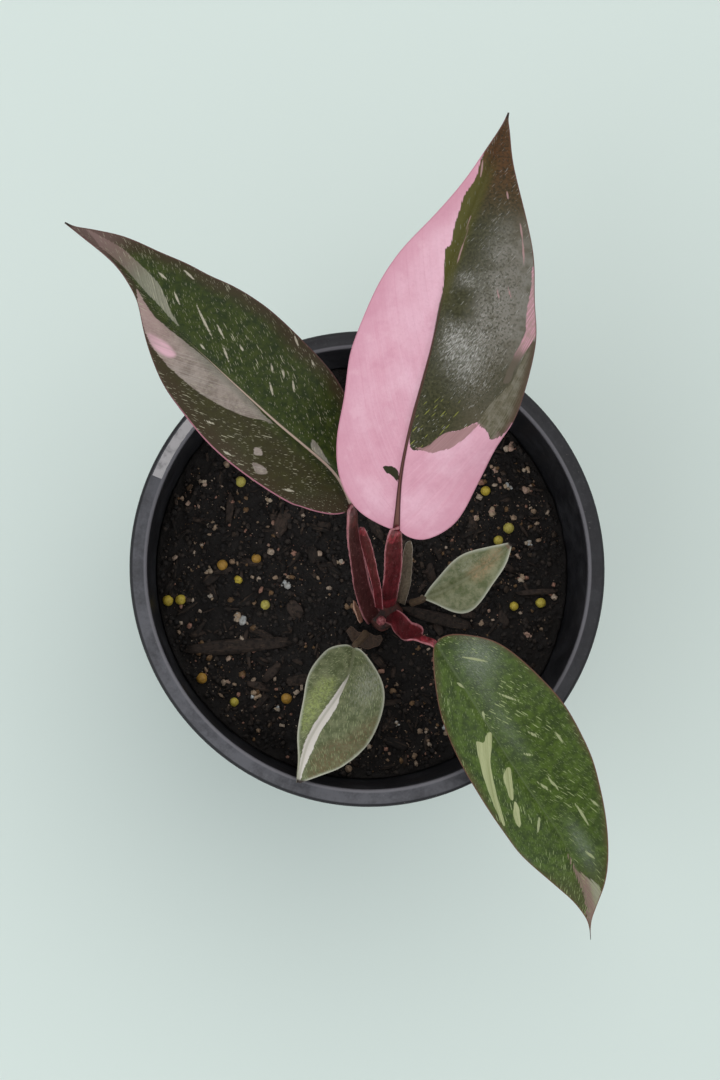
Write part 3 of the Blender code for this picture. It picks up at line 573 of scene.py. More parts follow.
def green_leaf():
    n = Skin("leaf_green", 0.17)
    n.colour = n.mix(n.ramp(n.noise(0.45, 5, 0.7), 0.35, 0.65), DEEP_GREEN, LIT_GREEN)
    n.over(n.ramp(n.add("edge", n.times(n.noise(0.12), 4)), 4.5, 2, 0, 0.6), (0.075, 0.055, 0.020))
    n.over(n.ramp("along", 68, 84, 0, 0.6), (0.062, 0.058, 0.020))
    # Painted sheen: a broad grey-green sheen where the sheen spots lie, with paler painted glints in fine
    # scratches.
    n.over(n.ramp("painted_sheen", 0.05, 0.8, 0, 0.45), SHEEN)
    n.over(painted_sheen(n, 0.66, 0.84), (0.21, 0.24, 0.185), 0.8)
    cream = n.mix(n.ramp(strands(n, 0.6, 3), 0.3, 0.6), (0.24, 0.26, 0.11), CREAM)
    for number, sector in enumerate(("cream", "cream_low", "cream_tip")):
        n.over(inside(n, sector, 0.3, 2 + number), cream, 0.95)
    pale_tip = n.mix(n.ramp("across", -3, -1), (0.34, 0.33, 0.24), (0.27, 0.17, 0.15))
    n.over(n.times(inside(n, "tip", 1.6, 7), n.ramp(strands(n, 0.5), 0.3, 0.6, 0.45, 0.85)), pale_tip)
    many = n.ramp(n.noise(0.09, 2), 0.35, 0.65, 0.12, 0.55)
    n.over(dashes(n, 0.8, 1.6, many, 4), (0.30, 0.35, 0.16), 0.8)
    n.over(dashes(n, 0.42, 0.6, 0.5, 9), (0.24, 0.30, 0.13), 0.5)
    n.over(inside(n, "dash", 0.12, 3), (0.36, 0.39, 0.21), 0.85)
    lines(n, (0.10, 0.13, 0.06), (0.15, 0.065, 0.045), 0.5)
    return leaf_finish(n, 0.28, 0.46)


def young_leaf(name, dark, pale, sector_colours):
    n = Skin(name, 0.4)
    mottle = n.noise(0.4, 5, 0.7)
    n.colour = n.mix(n.ramp(mottle, 0.35, 0.65), dark, pale)
    for number, (sector, colour) in enumerate(sector_colours.items()):
        if sector in ("streak", "tip"):
            n.over(inside(n, sector, 0.4, 2 * number), colour)
        else:
            broken = n.ramp(n.noise(1.5, 4, 0.7, n.shifted(n.place, number)), 0.42, 0.6, 0.25, 0.9)
            n.over(n.times(n.ramp(sector, -1.5, 1.5), broken), colour)
    n.over(n.times(dashes(n, 0.55, 0.9, 0.6, 1), n.ramp("streak", 0, -0.4)), (0.30, 0.34, 0.17), 0.55)
    # Painted sheen: pale glints in fine scratches.
    n.over(painted_sheen(n, 0.62, 0.8), (0.32, 0.33, 0.27), 0.6)
    n.over(n.ramp(n.add("edge", n.times(mottle, 1.5)), 1.9, 0.8, 0, 0.7), (0.40, 0.42, 0.33))
    lines(n, (0.20, 0.21, 0.12), (0.42, 0.42, 0.33), 0.35)
    return leaf_finish(n, 0.4, 0.6)


def leaf_underside(name, colour, tint):
    n = Skin(name, 0.35)
    n.colour = n.mix(n.ramp(strands(n, 1.1), 0.35, 0.65), colour, tint)
    n.over(n.ramp(n.noise(0.8, 4), 0.5, 0.75, 0, 0.3), darker(tint, 0.5))
    n.over(n.ramp("rib", -0.6, 0.2), (0.28, 0.12, 0.11), 0.7)
    return leaf_finish(n, 0.5, 0.7)


def leaf_margin(name, colour):
    n = Skin(name)
    n.colour = n.mix(n.noise(0.4), colour, darker(colour, 0.5))
    n.bump(n.noise(2.5, 2), 0.05)
    return n.finish(n.noise(1.2, 2), 0.4, 0.6)


# Curves through points


def catmull(points, per_span):
    points = np.array(points, float)
    ends = 2 * points[0] - points[1], 2 * points[-1] - points[-2]
    points = np.vstack([ends[0], points, ends[1]])
    t = np.arange(per_span)[:, None] / per_span
    spans = []
    for a, b, c, d in zip(points, points[1:], points[2:], points[3:]):
        bend = (2 * a - 5 * b + 4 * c - d) * t**2 + (3 * b - a - 3 * c + d) * t**3
        spans.append(0.5 * (2 * b + (c - a) * t + bend))
    return np.vstack(spans + [points[-2]])


def smoothed(points, steps):
    """The points with small kinks evened out, the two ends kept."""
    points = points.copy()
    for _ in range(steps):
        points[1:-1] = 0.25 * points[:-2] + 0.5 * points[1:-1] + 0.25 * points[2:]
    return points


def lengths_of(points):
    steps = np.linalg.norm(np.diff(points, axis=0), axis=1)
    return np.concatenate([[0], np.cumsum(steps)])


def unit(rows):
    return rows / np.linalg.norm(rows, axis=-1)[..., None]


def resampled(points, count):
    points = catmull(points, 12)
    along = lengths_of(points)
    wanted = np.linspace(0, along[-1], count)
    return np.stack([np.interp(wanted, along, column) for column in points.T], axis=1)


# Meshes


def mesh_object(name, points, faces, materials, smooth=True):
    """A new mesh of points in millimetres."""
    mesh = bpy.data.meshes.new(name)
    mesh.from_pydata((np.asarray(points, float) * MM).tolist(), [], [list(f) for f in faces])
    mesh.update()
    mesh.polygons.foreach_set("use_smooth", [smooth] * len(mesh.polygons))
    for material in materials:
        mesh.materials.append(material)
    obj = bpy.data.objects.new(name, mesh)
    bpy.context.scene.collection.objects.link(obj)
    return obj


def give(obj, name, values):
    """Stores a number or a vector for each vertex, for the materials to read."""
    values = np.asarray(values, np.float32)
    kind, field = ("FLOAT", "value") if values.ndim == 1 else ("FLOAT_VECTOR", "vector")
    obj.data.attributes.new(name, kind, "POINT").data.foreach_set(field, values.ravel())


def finished(obj, slot, *nodes):
    """The piece rides with the pot and stands for its CAD nodes, which it hides. The slot is not used."""
    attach(obj, "root")
    if nodes:
        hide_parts(*nodes)
    return obj


def turned(name, profile, steps, material):
    """A body turned from a profile that begins and ends on the axis."""
    points, rings = [], []
    for r, z in profile:
        if r < 1e-6:
            rings.append([len(points)] * steps)
            points.append((0.0, 0.0, z))
            continue
        rings.append(list(range(len(points), len(points) + steps)))
        points += [(r * cos(2 * pi * k / steps), r * sin(2 * pi * k / steps), z) for k in range(steps)]
    faces = []
    for low, high in zip(rings, rings[1:]):
        for k in range(steps):
            m = (k + 1) % steps
            corners = [low[k], low[m], high[m], high[k]]
            faces.append([c for i, c in enumerate(corners) if c not in corners[:i]])
    return mesh_object(name, points, faces, [material])


def arc(centre, radius, start, end, steps=5):
    """Points of a round corner, angles in degrees."""
    r, z = centre
    angles = [radians(start + (end - start) * k / steps) for k in range(steps + 1)]
    return [(r + radius * cos(t), z + radius * sin(t)) for t in angles]


def tube_faces(rings, sides):
    """The faces of a closed tube, whose points come ring by ring."""
    last = (rings - 1) * sides
    faces = [tuple(range(sides)), tuple(last + k for k in reversed(range(sides)))]
    for start in range(0, last, sides):
        for k in range(sides):
            p, q = start + k, start + (k + 1) % sides
            faces.append((q, p, p + sides, q + sides))
    return faces


def shell(name, upper, lower, materials):
    """A closed body between two grids of points, with a material each for above, below and the border."""
    rows, wide = upper.shape[:2]
    index = np.arange(rows * wide).reshape(rows, wide)
    cells = np.stack([index[:-1, :-1], index[:-1, 1:], index[1:, 1:], index[1:, :-1]], axis=-1).reshape(-1, 4)
    loop = np.concatenate([index[0], index[1:, -1], index[-1, -2::-1], index[-2:0:-1, 0]])
    after, below = np.roll(loop, -1), rows * wide
    border = np.stack([after, loop, loop + below, after + below], axis=-1)
    faces = np.vstack([cells, cells[:, ::-1] + below, border])
    points = np.vstack([upper.reshape(-1, 3), lower.reshape(-1, 3)])
    obj = mesh_object(name, points, faces.tolist(), materials)
    kinds = np.repeat([0, 1, 2], [len(cells), len(cells), len(border)])
    obj.data.polygons.foreach_set("material_index", kinds.astype(np.int32))
    obj.data.polygons.foreach_set("use_smooth", kinds < 2)
    return obj


# Blades


class Rib:
    """A leaf's rib, with the frame that carries flat leaf coordinates onto it."""

    def __init__(self, leaf):
        rib = resampled(leaf["rib"], RIB_POINTS)
        step = lengths_of(rib)[-1] / RIB_POINTS
        self.points = smoothed(rib, int(2 * (RIB_SMOOTHING / step) ** 2))
        self.along = lengths_of(self.points)
        self.forward = unit(np.gradient(self.points, axis=0))
        self.side = unit(np.cross(self.forward, (0, 0, 1)))
        self.normal = np.cross(self.side, self.forward)
        self.leaf = leaf

    def at(self, rows, a):
        return np.stack([np.interp(a, self.along, column) for column in rows.T], axis=-1)

    def by_hand(self, key, b):
        left, right = self.leaf[key]
        return np.radians(np.where(b > 0, right, left))

    def place(self, a, b):
        """Points a along the rib and b to its right on the folded and curled leaf, and the normals there."""
        on_rib = np.clip(a, 0, self.along[-1])
        fold, curl = self.by_hand("fold", b), self.by_hand("curl", b) / 10
        w = np.abs(b)
        lean = fold + curl * w
        out = (np.sin(lean) - np.sin(fold)) / curl
        up = (np.cos(fold) - np.cos(lean)) / curl
        height, waves, phase = self.leaf["ripple"]
        up = up + height * np.sin(2 * pi * (waves * a / self.along[-1] + phase)) * (w / 20) ** 2
        forward, side, normal = (self.at(rows, on_rib) for rows in (self.forward, self.side, self.normal))
        hand = np.where(b > 0, 1.0, -1.0)
        point = self.at(self.points, on_rib) + forward * (a - on_rib)[..., None]
        point = point + side * (out * hand)[..., None] + normal * up[..., None]
        return point, normal * np.cos(lean)[..., None] - side * (np.sin(lean) * hand)[..., None]


def smooth_edge(points, rows):
    """An edge of the leaf with its small kinks smoothed out, its ends kept."""
    return smoothed(resampled(points, rows + 1), int(2 * (EDGE_SMOOTHING * rows / points[-1][0]) ** 2))


def flat_grid(leaf):
    """Flat coordinates of the leaf's grid and the distance to its margin. A row runs from left to right."""
    rows, columns = leaf["rows"], leaf["columns"]
    left = smooth_edge(leaf["left"], rows) * (1, -1)
    right = smooth_edge(leaf["right"], rows)
    rib = np.stack([np.linspace(0.1, left[-1, 0] - 0.1, rows + 1), np.zeros(rows + 1)], axis=1)
    share = (np.arange(-columns, columns + 1) / columns)[None, :, None]
    share = np.sign(share) * np.abs(share) ** 0.9
    ends = np.where(share < 0, left[:, None], right[:, None])
    flat = rib[:, None] + (ends - rib[:, None]) * np.abs(share)
    return flat[..., 0], flat[..., 1], np.linalg.norm(ends - flat, axis=-1)


def side_vein(a, b):
    """A coordinate that stays the same along each side vein, which leaves the rib and bends to the tip."""
    return a - (1 + a / TO_TIP) * np.abs(b)


def leaf_relief(a, b, margin):
    """How far the blade's surface lies above its smooth form: rib groove, side veins and slow unevenness."""
    c = pi * side_vein(a, b) / VEIN_SPACING
    w = np.abs(b)
    groove = -0.45 * np.exp(-((w / 0.9) ** 2)) + 0.16 * np.exp(-(((w - 2) / 1.1) ** 2))
    fade = np.clip(w / 3, 0, 1) * np.clip(margin / 4, 0, 1)
    veins = 0.05 * (np.sin(c) ** 2 - np.abs(np.cos(c)) ** 8) * fade
    slow = [noise.noise(Vector((p / 12, q / 9, 5))) for p, q in zip(a.ravel(), b.ravel())]
    return groove + veins + 0.4 * np.reshape(slow, a.shape) * np.clip(margin / 2, 0, 1)


def thickness(a, b, margin):
    """Thick along the rib, thin at the margin and the tip."""
    share = a / a.max()
    rib = np.clip(np.minimum(3 * (1 - share), 0.35 + 4 * share), 0.1, 1) * np.exp(-((b / 1.7) ** 2))
    swell = np.clip(rib + 0.12 * np.clip(margin / 4, 0, 1), 0, 1)
    body = EDGE_THICKNESS + (RIB_THICKNESS - EDGE_THICKNESS) * swell
    return body * np.clip(0.25 + 12 * (1 - share), 0, 1)


def dash_distance(name, a, b):
    """How far inside the nearest dash each flat point lies, negative outside."""
    p = np.stack([a, b], axis=1)
    best = np.full(len(a), -9.0)
    for start, end in DASHES.get(name, ()):
        start, step = np.array(start, float), np.subtract(end, start)
        t = np.clip((p - start) @ step / (step @ step), 0, 1)
        taper = DASH_HALF_WIDTH[name] * (1 - 0.6 * np.abs(2 * t - 1))
        best = np.maximum(best, taper - np.linalg.norm(p - start - t[:, None] * step, axis=1))
    return best


def sheen_amount_at(name, a, b):
    spots = [amount * np.exp(-(((a - p) / spread) ** 2) - ((b - q) / wide) ** 2)
             for p, q, spread, wide, amount in PAINTED_SHEEN_SPOTS[name]]
    return np.clip(sum(spots), 0, 1)


def outline_distance(a, b, outline):
    """How far inside a closed smooth outline each flat point lies, negative outside."""
    curve = catmull(outline[-2:] + outline + outline[:2], 5)[10:-10]
    curve = np.vstack([curve, curve[:1]])
    p = np.stack([a, b], axis=1)[:, None]
    start, step = curve[:-1][None], np.diff(curve, axis=0)[None]
    size = np.maximum((step**2).sum(-1), 1e-9)
    t = np.clip(((p - start) * step).sum(-1) / size, 0, 1)
    distance = np.linalg.norm(p - start - step * t[..., None], axis=-1).min(axis=1)
    above = (start[..., 1] > p[..., 1]) != ((start + step)[..., 1] > p[..., 1])
    rise = np.where(step[..., 1] == 0, 1e-9, step[..., 1])
    crossing = start[..., 0] + (p[..., 1] - start[..., 1]) / rise * step[..., 0]
    within = (above & (p[..., 0] < crossing)).sum(axis=1) % 2 == 1
    return np.where(within, distance, -distance)


def blade(name, slot, *materials):
    """A leaf's blade. The materials are those of its upper face, its underside and its margin."""
    a, b, margin = flat_grid(BLADES[name])
    point, normal = Rib(BLADES[name]).place(a, b)
    upper = point + normal * leaf_relief(a, b, margin)[..., None]
    lower = upper - normal * thickness(a, b, margin)[..., None]
    obj = shell(name + "_leaf", upper, lower, materials)
    a, b, margin = (np.tile(values.ravel(), 2) for values in (a, b, margin))
    rib_line = np.interp(a, *RIB_LINE.get(name, PLAIN_RIB_LINE))
    vein = np.stack([side_vein(a, b) + HALVES_APART * np.sign(b), np.abs(b), 0 * b], axis=1)
    values = {"vein": vein, "along": a, "across": b, "to_tip": 1 - a / a.max(), "edge": margin,
              "rib": rib_line - np.abs(b), "painted_sheen": sheen_amount_at(name, a, b), "dash": dash_distance(name, a, b)}
    for sector, outline in SECTORS[name].items():
        values[sector] = outline_distance(a, b, outline)
    for key, numbers in values.items():
        give(obj, key, numbers)
    finished(obj, slot, name)


def blades():
    under_red = leaf_underside("underside_red", (0.16, 0.075, 0.06), (0.10, 0.08, 0.045))
    under_green = leaf_underside("underside_green", (0.12, 0.13, 0.07), (0.15, 0.11, 0.075))
    under_pink = leaf_underside("underside_pink", (0.55, 0.25, 0.29), (0.42, 0.20, 0.22))
    red_margin = leaf_margin("margin_red", (0.16, 0.055, 0.05))
    pale_margin = leaf_margin("margin_pale", (0.42, 0.40, 0.28))
    rosy_margin = leaf_margin("margin_rosy", (0.50, 0.25, 0.30))
    blade("blade_top", "leaf_pink", pink_leaf(), under_pink, rosy_margin)
    blade("blade_left", "leaf_dark", dark_leaf(), under_red, red_margin)
    blade("blade_low", "leaf_green", green_leaf(), under_green, red_margin)
    sectors = {"brown": (0.115, 0.080, 0.032), "yellow": (0.26, 0.31, 0.09), "streak": (0.62, 0.58, 0.53)}
    left = young_leaf("leaf_young_left", (0.062, 0.080, 0.024), (0.150, 0.165, 0.078), sectors)
    blade("blade_small_left", "leaf_young", left, under_green, pale_margin)
    sectors = {"tan": (0.34, 0.24, 0.13), "tip": (0.15, 0.065, 0.035)}
    right = young_leaf("leaf_young_right", (0.085, 0.105, 0.036), (0.21, 0.215, 0.12), sectors)
    blade("blade_small_right", "leaf_young", right, under_green, pale_margin)


# Stalks


def section(width, depth, channel):
    """A round section whose upper side sinks into a channel, leaving two thin wings."""
    angle = 2 * pi * np.arange(SECTION_SIDES) / SECTION_SIDES
    rise = np.sin(angle)
    y = depth / 2 * rise - channel * depth * np.maximum(0, rise) ** 0.8
    return width / 2 * np.cos(angle), y, np.abs(np.cos(angle)), rise


def under_blade(name, keys):
    """More of a leaf's stalk, which bends to run on under the foot of its blade."""
    rib = np.array(BLADES[name.replace("stalk", "blade")]["rib"], float)
    ahead = unit(rib[1] - rib[0])
    more = []
    for share, scale in ((0.25, 0.8), (0.6, 0.55), (1, 0.3)):
        place = rib[0] + ahead * JOINED_TO_BLADE * share - (0, 0, 1.3 + 0.7 * share)
        more.append(np.concatenate([place, keys[-1, 3:5] * scale, [0]]))
    return np.vstack([keys, more])


def lofted(name, slot, material, rough, joined=False, node=True):
    """A channelled stalk along its centre line, with its surface a little uneven."""
    facing, keys = STALKS[name][0], np.array(STALKS[name][1], float)
    if joined:
        keys = under_blade(name, keys)
    rows = resampled(keys, STALK_STEPS * (len(keys) - 1) + 1)
    forward = unit(np.gradient(rows[:, :3], axis=0))
    points, wing, inner = [], [], []
    for row, ahead in zip(rows, forward):
        side = unit(np.cross(ahead, facing))
        x, y, toward_wing, rise = section(*row[3:])
        ring = row[:3] + np.outer(x, side) + np.outer(y, np.cross(side, ahead))
        for p in ring:
            points.append(p + unit(p - row[:3] + 1e-6) * noise.noise(Vector(p) / 2.2) * rough)
        wing.append(toward_wing)
        inner.append(np.clip(rise, 0, 1) * (row[5] > 0.25))
    obj = mesh_object(name + "_piece", points, tube_faces(len(rows), SECTION_SIDES), [material])
    give(obj, "wing", np.concatenate(wing))
    give(obj, "inner", np.concatenate(inner))
    return finished(obj, slot, name) if node else finished(obj, slot)


def red_stalk(name, dark, lit):
    n = Skin(name)
    streaks = n.noise(1.5, 4, 0.6, n.scaled(n.place, (1, 0.35, 0.12)))
    n.colour = n.mix(n.ramp(streaks, 0.3, 0.7), dark, lit)
    # Painted shade: the channel along the stalk is darker.
    n.over("inner", darker(dark, 0.6), 0.8)
    # Paler pink along both wings: partly their own pink, partly a painted highlight.
    n.over(n.times(n.ramp("wing", 0.8, 0.97), n.ramp(streaks, 0.3, 0.6, 0.5, 0.95)), (0.50, 0.20, 0.22))
    n.over(n.ramp(n.noise(2.4, 2, at=n.scaled(n.place, (1, 1, 0.3))), 0.64, 0.7), (0.40, 0.19, 0.19), 0.4)
    n.bump(streaks, 0.35, 0.7)
    return n.finish(streaks, 0.28, 0.42)


def dull_stalk(name, dark, pale, edge, rough=0.6):
    n = Skin(name, 0.35)
    streaks = n.noise(1.8, 5, 0.65, n.scaled(n.place, (1, 1, 0.35)))
    n.colour = n.mix(n.ramp(streaks, 0.3, 0.7), dark, pale)
    n.over(n.ramp("wing", 0.88, 1, 0, 0.8), edge)
    n.bump(streaks, 0.35, 0.8)
    return n.finish(streaks, rough - 0.1, rough + 0.15)


def stalks():
    red = red_stalk("stalk_red", (0.075, 0.008, 0.010), (0.29, 0.026, 0.040))
    brown = red_stalk("stalk_red_brown", (0.050, 0.012, 0.011), (0.14, 0.034, 0.034))
    lofted("stalk_top", "stalk_red", red, 0.12, joined=True)
    lofted("stalk_left", "stalk_red", brown, 0.12, joined=True)
    lofted("stalk_low", "stalk_red", red, 0.12, joined=True)
    lofted("stalk_left_wing", "stalk_red", red, 0.12, node=False)
    olive = dull_stalk("stalk_olive", (0.045, 0.028, 0.016), (0.10, 0.066, 0.036), (0.14, 0.085, 0.055))
    lofted("stalk_small_left", "stalk_olive", olive, 0.15, joined=True)
    lofted("stalk_small_right", "stalk_olive", olive, 0.15, joined=True)
    strip = dull_stalk("sheath_skin", (0.075, 0.060, 0.038), (0.18, 0.145, 0.10), (0.5, 0.45, 0.38))
    lofted("sheath", "sheath", strip, 0.2)
    flake = dull_stalk("dry_flake", (0.17, 0.075, 0.045), (0.40, 0.20, 0.13), (0.55, 0.36, 0.27), 0.75)
    lofted("dry_scale_left", "dry_scale", flake, 0.5)
    husk = dull_stalk("dry_husk", (0.028, 0.017, 0.011), (0.085, 0.052, 0.034), (0.20, 0.13, 0.09), 0.7)
    lofted("dry_scale_low", "dry_scale", husk, 0.5)


def bud():
    n = Skin("bud_skin")
    mottle = n.noise(1.2)
    n.colour = n.mix(n.ramp(mottle, 0.35, 0.65), (0.17, 0.035, 0.045), (0.36, 0.13, 0.13))
    n.bump(mottle, 0.1)
    base, faces = ball(4)
    points = []
    for x, y, z in base * BUD_RADIUS:
        point = Vector((x, y, BUD_HEIGHT * z))
        point += point.normalized() * 0.12 * noise.noise(point * 1.5)
        point.xy *= 1 - 0.35 * max(0, point.z) / BUD_RADIUS / BUD_HEIGHT
        points.append(point + BUD)
    finished(mesh_object("bud_knob", points, faces.tolist(), [n.finish_even(0.4)]), "bud", "bud")


def stem():
    n = Skin("stem_skin", 0.3)
    bands = n.noise(0.9, 5, 0.65, n.scaled(n.place, (0.5, 0.5, 2)))
    n.colour = n.mix(n.ramp(bands, 0.35, 0.65), (0.018, 0.010, 0.008), (0.085, 0.026, 0.020))
    n.bump(bands, 0.5, 0.8)
    waist, crown_top = SOIL_LEVEL + 1.6, STEM_TOP - 0.8
    profile = [(0, STEM_FOOT), (STEM_RADIUS - 0.2, STEM_FOOT), (STEM_RADIUS, STEM_FOOT + 0.4)]
    profile += [(STEM_RADIUS, waist), (CROWN_RADIUS - 0.3, crown_top - 2.6), (CROWN_RADIUS, crown_top - 1.8)]
    profile += arc((CROWN_RADIUS - 1.4, crown_top - 1.4), 1.4, 0, 90, 6) + [(2, crown_top), (0, crown_top)]
    obj = turned("main_stem_piece", profile, STEM_STEPS, n.finish(bands, 0.5, 0.8))
    for vertex in obj.data.vertices:
        point = vertex.co / MM
        if point.z > SOIL_LEVEL:
            point.xy *= 1 + noise.noise(point / 2.5) / CROWN_RADIUS
        vertex.co = (point + STEM) * MM
    finished(obj, "stem", "main_stem")


# Pot and tape


def pot_profile():
    rim, inner, top = RIM_RADIUS, RIM_INNER_RADIUS, POT_HEIGHT
    collar = top - COLLAR_HEIGHT
    wall_out, foot = rim - COLLAR_STEP, BASE_RADIUS
    profile = [(0, FLOOR), (foot - WALL - 1.6, FLOOR)]
    profile += arc((foot - WALL - 1.2, FLOOR + 1.2), 1.2, -90, 0, 4)
    profile += [(inner - 0.6, top - 6), (inner - 0.3, top - 1.6)]
    profile += arc((inner + 0.5, top - 0.75), 0.75, 180, 90, 6)
    profile += [(inner + 1.6, top - 0.12), (rim - 2.4, top - 0.2), (rim - 1.5, top - 0.05)]
    profile += arc((rim - 0.8, top - 0.8), 0.8, 80, 0, 6)
    profile += [(rim - 0.25, collar + 4), (rim - 0.45, collar + 0.6)]
    profile += arc((rim - 1, collar + 0.5), 0.5, 0, -90, 4)
    profile += [(wall_out + 0.5, collar - 0.1), (wall_out, collar - 0.7)]
    profile += [(foot + 0.6, 1.6)] + arc((foot - 0.6, 1), 1, 0, -90, 4)
    return profile + [(0, 0)]


def black_plastic():
    n = Skin("pot_black_plastic", 0.3)
    smudge, dust = n.noise(0.11, 6, 0.65), n.noise(0.9, 5, 0.7)
    n.colour = n.mix(n.ramp(smudge, 0.42, 0.7, 0, 0.5), (0.010, 0.010, 0.012), (0.034, 0.034, 0.038))
    n.over(n.ramp(dust, 0.56, 0.74, 0, 0.25), (0.085, 0.08, 0.08))
    # Painted sheen: the rim's top is paler towards the lower left, broken up by the smudge and dust mottle.
    rim_sheen_side = n.ramp(n.vector("DOT_PRODUCT", n.place, RIM_SHEEN_SIDE)["Value"], -50, 55, 0.1, 1)
    on_top = n.ramp(n.height_of(n.node("NewGeometry")["Normal"]), 0.75, 0.98)
    sheen_mottle = n.ramp(n.add(smudge, n.times(dust, 0.5)), 0.5, 0.9, 0.4, 1)
    n.over(n.times(on_top, sheen_mottle, rim_sheen_side), (0.10, 0.10, 0.112))
    radius = n.vector("LENGTH", n.scaled(n.place, (1, 1, 0)))["Value"]
    near_top = n.ramp(n.height_of(n.place), POT_HEIGHT - 1.6, POT_HEIGHT - 0.9)
    # Painted highlight: a pale line along the rounded inner edge of the rim.
    inner_edge_highlight = n.times(n.ramp(radius, RIM_INNER_RADIUS - 0.4, RIM_INNER_RADIUS), n.ramp(radius, 61.4, 61))
    n.over(n.times(inner_edge_highlight, near_top), (0.155, 0.15, 0.165), 0.75)
    # Painted shade: a dark line along the rounded outer edge of the rim's top.
    n.over(n.times(n.ramp(radius, 64, 64.4), near_top), (0.012, 0.012, 0.014))
    n.over(n.ramp(n.noise(1.7, 2), 0.72, 0.75), (0.24, 0.22, 0.20), 0.4)
    n.bump(n.noise(3), 0.05, 0.6)
    n.bump(smudge, 0.3, 0.3)
    return n.finish(smudge, 0.4, 0.62, top=0.75)


def pot():
    obj = turned("pot_shell", pot_profile(), POT_STEPS, black_plastic())
    cutters = bpy.data.collections.new("cutters")
    for k in range(DRAIN_HOLES):
        spot = Matrix.Rotation(2 * pi * k / DRAIN_HOLES, 4, "Z") @ Vector((DRAIN_CIRCLE_RADIUS, 0, 0))
        bpy.ops.mesh.primitive_cylinder_add(vertices=HOLE_STEPS, radius=DRAIN_HOLE_RADIUS * MM,
                                            depth=4 * FLOOR * MM, location=spot * MM)
        cutters.objects.link(bpy.context.object)
    cut_with(obj, cutters)
    finished(obj, "pot_plastic", "pot")


def cut_with(obj, cutters):
    modifier = obj.modifiers.new("Holes", "BOOLEAN")
    modifier.operation = "DIFFERENCE"
    modifier.solver = "EXACT"
    modifier.operand_type = "COLLECTION"
    modifier.collection = cutters
    bpy.context.view_layer.update()
    mesh = bpy.data.meshes.new_from_object(obj.evaluated_get(bpy.context.evaluated_depsgraph_get()))
    mesh.set_sharp_from_angle(angle=SHARP_EDGE)
    obj.modifiers.clear()
    obj.data = mesh
    for cutter in list(cutters.objects):
        bpy.data.objects.remove(cutter)
    bpy.data.collections.remove(cutters)


def tape():
    n = Skin("rim_tape_paper")
    fibres = n.noise(2, 5, 0.7)
    n.colour = n.mix(fibres, (0.34, 0.325, 0.33), (0.47, 0.45, 0.455))
    n.over(n.ramp(n.noise(0.35, 4), 0.5, 0.7), (0.12, 0.12, 0.12), 0.6)
    n.bump(fibres, 0.05)
    points = []
    for i in range(TAPE_STEPS + 1):
        share = i / TAPE_STEPS
        angle = radians(TAPE_START + (TAPE_END - TAPE_START) * share)
        fray = 0.12 * noise.noise(Vector((share * 14, 0, 0)))
        low = POT_HEIGHT - 0.14 + 0.12 * max(0, 1 - 12 * share)  # its end lifts a little
        high, near, far = low + TAPE_THICKNESS, TAPE_INNER + fray, TAPE_OUTER + fray
        for r, z in ((near, low), (far, low), (far, high), (near, high)):
            points.append((r * cos(angle), r * sin(angle), z))
    paper = n.finish(fibres, 0.45, 0.7)
    strip = mesh_object("rim_tape_strip", points, tube_faces(TAPE_STEPS + 1, 4), [paper], smooth=False)
    finished(strip, "tape", "rim_tape")


# Soil


def wall_radius(z):
    """The pot's inner radius at a height."""
    low, high = BASE_RADIUS - WALL, RIM_INNER_RADIUS - 0.3
    return low + (high - low) * (z - FLOOR - 1.2) / (POT_HEIGHT - FLOOR - 4.2)


def soil_height(x, y):
    """The same slow relief as in the CAD."""
    rough = noise.noise(Vector((x / 7, y / 7, 3))) + 0.5 * noise.noise(Vector((x / 3, y / 3, 9)))
    from_stem = (Vector((x, y, 0)) - STEM).length
    calm = min(1.0, max(0.0, from_stem - 8) / 10)
    return SOIL_LEVEL + SOIL_RELIEF * rough * calm


def fine_soil_height(x, y):
    ragged = noise.turbulence(Vector((x / 2.4, y / 2.4, 1)), 3, True)
    return soil_height(x, y) - 0.5 + 0.9 * ragged


def peat_material():
    n = Skin("soil_peat", 0.3)
    clumps, fine = n.noise(0.35, 5, 0.7), n.noise(2.2, 5, 0.7)
    n.colour = n.mix(n.ramp(clumps, 0.4, 0.7), (0.0085, 0.0070, 0.0062), (0.0153, 0.0126, 0.01116))
    n.over(n.ramp(fine, 0.55, 0.75, 0, 0.5), (0.035, 0.026, 0.020))
    n.bump(fine, 0.5, 0.9)
    n.bump(clumps, 0.8, 0.5)
    return n.finish(fine, 0.7, 0.95)


def soil_body():
    edge = wall_radius(SOIL_LEVEL) - SOIL_EDGE_GAP
    foot = wall_radius(FLOOR + 1.6) - SOIL_EDGE_GAP
    profile = [(0, FLOOR + 0.2), (foot - 1.6, FLOOR + 0.2), (foot, FLOOR + 1.6), (edge, SOIL_LEVEL - 3)]
    profile += [(edge * k / SOIL_RINGS, SOIL_LEVEL) for k in range(SOIL_RINGS, -1, -1)]
    obj = turned("soil_body", profile, SOIL_STEPS, peat_material())
    for vertex in obj.data.vertices:
        x, y, z = vertex.co / MM
        if z > SOIL_LEVEL - 0.1:
            vertex.co.z = fine_soil_height(x, y) * MM
    finished(obj, "soil", "soil")


def arrays_of(made):
    """The points and the faces of a bmesh, which is freed."""
    points = np.array([v.co for v in made.verts])
    faces = np.array([[v.index for v in f.verts] for f in made.faces])
    made.free()
    return points, faces


def ball(subdivisions):
    made = bmesh.new()
    bmesh.ops.create_icosphere(made, subdivisions=subdivisions, radius=1)
    return arrays_of(made)


